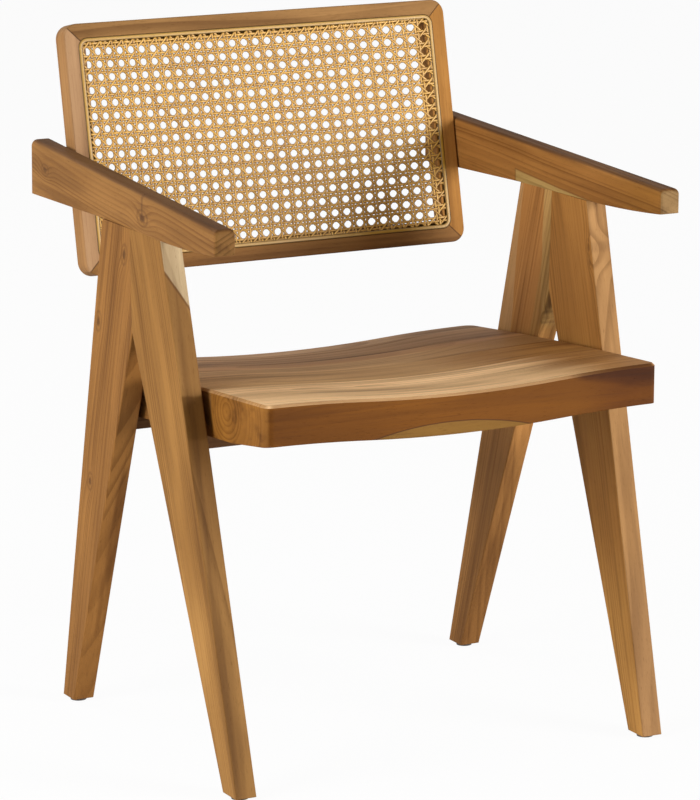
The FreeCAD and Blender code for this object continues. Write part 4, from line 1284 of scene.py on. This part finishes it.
@dataclass(frozen=True)
class Spline:
    """The reed that is pressed into the groove over the cane's rim, in metres.

    Args:
        plane: Plane of the back frame.
        inset: Frame's outer edge to the reed's middle.
        radius: Radius of its middle line at the corners.
        width: Its width.
        crown: Rise of its middle above the frame's face.
        depth: Depth of its foot in the groove.
        corner_steps: Faces round each corner.
        straight_steps: Faces along each straight.
    """

    plane: BackPlane
    inset: float = 0.0198
    radius: float = 0.0092
    width: float = 0.0049
    crown: float = 0.00056
    depth: float = 0.0030
    corner_steps: int = 9
    straight_steps: int = 24

    TONE = 0.35
    JOIN_WITHIN = 0.00001
    SECTION = ((-1.0, None), (-1.0, 0.0), (-0.90, 0.40), (-0.62, 0.80), (0.0, 1.0),
               (0.62, 0.80), (0.90, 0.40), (1.0, 0.0), (1.0, None))

    @property
    def half_width(self) -> float:
        """Mid-plane to the reed's middle at the sides."""
        return self.plane.half_width - self.inset

    def section(self, shell: bmesh.types.BMesh) -> list[bmesh.types.BMEdge]:
        """The reed's cross-section at the lower end of the right side.

        Args:
            shell: The mesh.

        Returns:
            Its edges.
        """
        start = self.inset + self.radius
        row = []
        for side, rise in self.SECTION:
            drop = self.depth if rise is None else -self.crown * rise
            row.append(shell.verts.new((self.half_width + side * self.width / 2.0, start, drop)))
        return [shell.edges.new(pair) for pair in zip(row, row[1:])]

    def straight(self, shell: bmesh.types.BMesh, edges: list, run: Vector) -> list:
        """Extrude the section along a straight.

        Args:
            shell: The mesh.
            edges: The section's edges.
            run: The straight's whole length and direction.

        Returns:
            The section's edges at the far end.
        """
        for _ in range(self.straight_steps):
            grown = bmesh.ops.extrude_edge_only(shell, edges=edges)["geom"]
            moved = [item for item in grown if isinstance(item, bmesh.types.BMVert)]
            edges = [item for item in grown if isinstance(item, bmesh.types.BMEdge)]
            bmesh.ops.translate(shell, vec=run / self.straight_steps, verts=moved)
        return edges

    def around(self, shell: bmesh.types.BMesh, edges: list, centre: Vector) -> list:
        """Spin the section a quarter turn round a corner.

        Args:
            shell: The mesh.
            edges: The section's edges.
            centre: Middle of the corner.

        Returns:
            The section's edges at the far end.
        """
        spun = bmesh.ops.spin(
            shell, geom=edges, cent=centre, axis=UP, angle=math.pi / 2.0,
            steps=self.corner_steps, use_merge=False,
        )
        return [item for item in spun["geom_last"] if isinstance(item, bmesh.types.BMEdge)]

    def label(self, shell: bmesh.types.BMesh) -> None:
        """Store each point's run along the reed and its side.

        Args:
            shell: The mesh.
        """
        tone, run, side = (shell.verts.layers.float.new(name) for name in ("tone", "run", "side"))
        middle = self.plane.length / 2.0
        for vertex in shell.verts:
            level = abs(vertex.co.x) - (self.half_width - self.radius)
            rise = abs(vertex.co.y - middle) - (middle - self.inset - self.radius)
            away = math.hypot(max(level, 0.0), max(rise, 0.0)) + min(max(level, rise), 0.0) - self.radius
            vertex[tone] = self.TONE
            vertex[run] = vertex.co.x + vertex.co.y
            vertex[side] = away / (self.width / 2.0)

    def build(self, material: bpy.types.Material) -> bpy.types.Object:
        """Build the reed as one closed loop.

        Args:
            material: Its material.

        Returns:
            The new object.
        """
        shell = bmesh.new()
        wide = self.half_width - self.radius
        low = self.inset + self.radius
        high = self.plane.length - low
        edges = self.section(shell)
        legs = (
            (Vector((0.0, high - low, 0.0)), Vector((wide, high, 0.0))),
            (Vector((-2.0 * wide, 0.0, 0.0)), Vector((-wide, high, 0.0))),
            (Vector((0.0, low - high, 0.0)), Vector((-wide, low, 0.0))),
            (Vector((2.0 * wide, 0.0, 0.0)), Vector((wide, low, 0.0))),
        )
        for run, centre in legs:
            edges = self.around(shell, self.straight(shell, edges, run), centre)
        bmesh.ops.remove_doubles(shell, verts=shell.verts, dist=self.JOIN_WITHIN)
        self.label(shell)
        return finished(shell, "reed_spline", material, self.plane.matrix())


@dataclass(frozen=True)
class CanedBack:
    """The back: a mitred frame, the woven cane and its spline.

    Args:
        plane: Plane of the frame's face.
        mitre_line: Half the width of the dark line at a mitre, in metres.
        mitre_fade: Share of that over which the line fades.
        mitre_share: Share of the line's colour in the mix.
        mitre_wave: How far the line wanders, in metres.
    """

    plane: BackPlane = field(default_factory=BackPlane)
    mitre_line: float = 0.0010
    mitre_fade: float = 0.6
    mitre_share: float = 0.75
    mitre_wave: float = 0.0002

    def mitre(self, side: float, end: float) -> Tint:
        """The thin dark line of a mitre.

        Args:
            side: -1 for the left side and 1 for the right.
            end: -1 for the lower end and 1 for the upper.

        Returns:
            The line as a tint of the frame's face.
        """
        upward = self.plane.upward
        across = (Vector(RIGHT) * side - upward * end) / math.sqrt(2.0)
        corner = self.plane.corner + Vector(RIGHT) * (side * self.plane.half_width)
        if end > 0.0:
            corner = corner + upward * self.plane.length
        level = across.dot(corner)
        width = self.mitre_line * self.mitre_fade
        bounds = (
            Bound(tuple(across), level - self.mitre_line, width),
            Bound(tuple(-across), -level - self.mitre_line, width),
        )
        facing = tuple(-self.plane.inward)
        return Tint(Tone.LINE.value, self.mitre_share, bounds, facing, self.mitre_wave)

    def boards(self) -> list[Board]:
        """The frame's four members.

        Returns:
            The boards.
        """
        slope = tuple(self.plane.upward)
        low_left, high_left = self.mitre(-1.0, -1.0), self.mitre(-1.0, 1.0)
        low_right, high_right = self.mitre(1.0, -1.0), self.mitre(1.0, 1.0)
        left = Board(
            "back_left_stile", "back_wood", (0.350, 0.200, 0.098), slope, RIGHT, (-0.24, 0.10), 50.6,
            tints=(Tint((0.25, 0.115, 0.032), 0.8, facing=LEFT), low_left, high_left),
        )
        right = Board(
            "back_right_stile", "back_wood", (0.325, 0.143, 0.030), slope, RIGHT, (0.24, 0.10), 54.2,
            tints=(low_right, high_right),
        )
        top = Board(
            "back_top_rail", "back_wood", (0.290, 0.150, 0.050), RIGHT, slope, (0.80, 0.10), 58.8,
            streaks=0.7, tints=(high_left, high_right),
        )
        bottom = Board(
            "back_bottom_rail", "back_wood", (0.205, 0.094, 0.026), RIGHT, slope, (0.55, 0.12), 62.1,
            streaks=0.7, tints=(low_left, low_right),
        )
        return [left, right, top, bottom]

    def weave(self) -> None:
        """Weave the cane in place of the plain sheet."""
        skin = SplitCane("split_cane", (0.66, 0.362, 0.056), (0.33, 0.150, 0.018)).material()
        webbing = Webbing(self.plane)
        strands = {
            "cane_upright_strands": webbing.pairs(True, 3),
            "cane_level_strands": webbing.pairs(False, 5),
            "cane_rising_strands": webbing.slants(True, 7),
            "cane_falling_strands": webbing.slants(False, 11),
        }
        for name, ribbons in strands.items():
            piece = ribbons.finish(name, skin)
            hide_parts("cane_panel")

    def build(self, frame: dict) -> None:
        """Dress the frame, weave the cane and press in the spline.

        Args:
            frame: The loaded frame.
        """
        dress_boards(frame, self.boards())
        self.weave()
        reed = SplitCane("reed", (0.42, 0.228, 0.018), (0.30, 0.152, 0.012)).material()
        piece = Spline(self.plane).build(reed)
        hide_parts("cane_spline")


# Joinery and hardware


@dataclass(frozen=True)
class Joinery:
    """What holds the pieces together, inside the joints and under the seat.

    Args:
        slope: Direction up the back frame.
    """

    slope: Triple

    def tenons(self) -> list[Board]:
        """The loose tenons and tongues.

        Returns:
            The boards.
        """
        cuts = (
            ("back_corner_tongues", RIGHT, self.slope, (0.5, 0.2), 66.1),
            ("seat_tongues", RIGHT, TO_REAR, (0.0, 0.3), 70.3),
            ("arm_leg_tenons", UP, RIGHT, (0.3, 0.1), 74.7),
            ("leg_seam_tenons", TO_REAR, RIGHT, (0.3, 0.1), 78.2),
            ("arm_back_tenons", RIGHT, UP, (0.3, 0.1), 82.6),
        )
        return [Board(name, "joinery_wood", Tone.PLAIN.value, *cut) for name, *cut in cuts]

    def build(self, frame: dict) -> None:
        """Dress the tenons, screws and glides.

        Args:
            frame: The loaded frame.
        """
        dress_boards(frame, self.tenons())
        plastic = MouldedPlastic("glide_plastic", (0.035, 0.024, 0.017)).material()
        dress(frame, "foot_glides", plastic)
        dress(frame, "seat_screws", ZincSteel("zinc_steel").material())


# The studio


@dataclass(frozen=True)
class Camera:
    """The photograph's camera, in metres, degrees and pixels."""

    azimuth: float = -27.8668
    elevation: float = 12.8298
    distance: float = 5.28532
    roll: float = 0.32483
    target: Triple = (-0.01212, -0.0302, 0.38895)
    focal: float = 4574.53
    middle: Pair = (350.985, 394.959)
    picture: tuple[int, int] = (700, 800)
    sensor: float = 24.0

    def build(self) -> None:
        """Place the camera and make it the scene's."""
        turn, lift, roll = (math.radians(angle) for angle in (self.azimuth, self.elevation, self.roll))
        back = Vector((math.sin(turn) * math.cos(lift), -math.cos(turn) * math.cos(lift), math.sin(lift)))
        right = Vector((math.cos(turn), math.sin(turn), 0.0))
        leaned = right * math.cos(roll) + back.cross(right) * math.sin(roll)
        rows = Matrix((leaned, back.cross(leaned), back)).transposed().to_4x4()
        rows.translation = Vector(self.target) + back * self.distance
        data = bpy.data.cameras.new("camera")
        data.sensor_fit = "VERTICAL"
        data.sensor_height = self.sensor
        data.lens = self.focal * self.sensor / self.picture[1]
        data.shift_x = (self.picture[0] / 2.0 - self.middle[0]) / self.picture[1]
        data.shift_y = (self.middle[1] - self.picture[1] / 2.0) / self.picture[1]
        camera = added("camera", data)
        camera.matrix_world = rows
        bpy.context.scene.camera = camera


@dataclass(frozen=True)
class Panel:
    """A soft light.

    Args:
        name: Its name.
        place: Its middle in metres.
        target: What it points at.
        size: Its width and height in metres.
        power: Its power in watts.
        colour: Its colour.
    """

    name: str
    place: Triple
    target: Triple
    size: Pair
    power: float
    colour: Triple = (1.0, 1.0, 1.0)

    def build(self) -> None:
        """Place the light."""
        data = bpy.data.lights.new(self.name, "AREA")
        data.shape = "RECTANGLE"
        data.size, data.size_y = self.size
        data.energy = self.power
        data.color = self.colour
        aim = (Vector(self.target) - Vector(self.place)).to_track_quat("-Z", "Y")
        added(self.name, data).matrix_world = Matrix.Translation(self.place) @ aim.to_matrix().to_4x4()


@dataclass(frozen=True)
class Studio:
    """A plain pale floor in soft light, against white.

    Args:
        panels: The lights.
        surround: Strength of the light from all round.
        surround_colour: Colour of that light.
        floor_size: Half the floor's width in metres.
        floor_colour: Colour of the floor.
        floor_glow: Share of plain white in the floor as it is seen.
        plain: Colour of the plain white.
        white: Strength of the white behind the chair.
    """

    panels: tuple[Panel, ...] = (
        Panel("key", (2.7, -3.3, 1.15), (0.0, 0.0, 0.40), (1.7, 1.7), 225.0, (1.0, 0.985, 0.96)),
        Panel("fill", (-4.2, -0.8, 1.50), (0.0, 0.0, 0.40), (2.4, 2.0), 185.0),
        Panel("rear", (-2.0, 3.2, 2.6), (0.0, 0.0, 0.50), (2.4, 1.6), 35.0),
    )
    surround: float = 0.26
    surround_colour: Triple = (1.0, 0.985, 0.96)
    floor_size: float = 20.0
    floor_colour: Triple = (0.78, 0.78, 0.78)
    floor_glow: float = 0.95
    plain: Triple = (1.0, 1.0, 1.0)
    white: float = 0.982

    @staticmethod
    def plain_share(graph: Graph) -> Signal:
        """1 for the camera's rays and for those that mirrors and glass send on, else 0.

        Args:
            graph: The graph of the world or the floor.

        Returns:
            The share.
        """
        ray = graph.node("ShaderNodeLightPath")
        names = ("Is Camera Ray", "Is Glossy Ray", "Is Transmission Ray")
        camera, glossy, sent_on = (Signal(graph, ray.outputs[name]) for name in names)
        return graph.math("MAXIMUM", graph.math("MAXIMUM", camera, glossy), sent_on)

    def light(self) -> None:
        """Place the lights and the white surround."""
        for panel in self.panels:
            panel.build()
        world = bpy.data.worlds.new("surround")
        bpy.context.scene.world = world
        graph = Graph(world)
        kind = "ShaderNodeBackground"
        lit = graph.signal(0, kind, {"Color": self.surround_colour, "Strength": self.surround})
        seen = graph.signal(0, kind, {"Color": self.plain, "Strength": self.white})
        mixed = graph.signal(0, "ShaderNodeMixShader", {0: self.plain_share(graph), 1: lit, 2: seen})
        graph.node("ShaderNodeOutputWorld", {"Surface": mixed})

    def floor(self) -> None:
        """Lay the floor, which keeps a faint shadow."""
        sheet = bmesh.new()
        bmesh.ops.create_grid(sheet, x_segments=2, y_segments=2, size=self.floor_size)
        mesh = bpy.data.meshes.new("floor")
        sheet.to_mesh(mesh)
        sheet.free()
        floor = added("floor", mesh)
        material = bpy.data.materials.new("floor")
        graph = Graph(material)
        soft = graph.signal(0, "ShaderNodeBsdfDiffuse", {"Color": self.floor_colour})
        glow = graph.signal(0, "ShaderNodeEmission", {"Color": self.plain, "Strength": 1.0})
        share = self.plain_share(graph) * self.floor_glow
        mixed = graph.signal(0, "ShaderNodeMixShader", {0: share, 1: soft, 2: glow})
        graph.node("ShaderNodeOutputMaterial", {"Surface": mixed})
        mesh.materials.append(material)

    def build(self) -> None:
        """Set up the camera, the light and the floor."""
        bpy.context.scene.view_settings.view_transform = "Standard"
        Camera().build()
        self.light()
        self.floor()


def main() -> None:
    """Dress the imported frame, build the cane and set the studio."""
    logging.basicConfig(level=logging.INFO, format="%(name)s: %(message)s")
    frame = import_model()
    back = CanedBack()
    SideFrames().build(frame)
    Seat().build(frame)
    back.build(frame)
    Joinery(tuple(back.plane.upward)).build(frame)
    Studio().build()


if __name__ == "__main__":
    main()
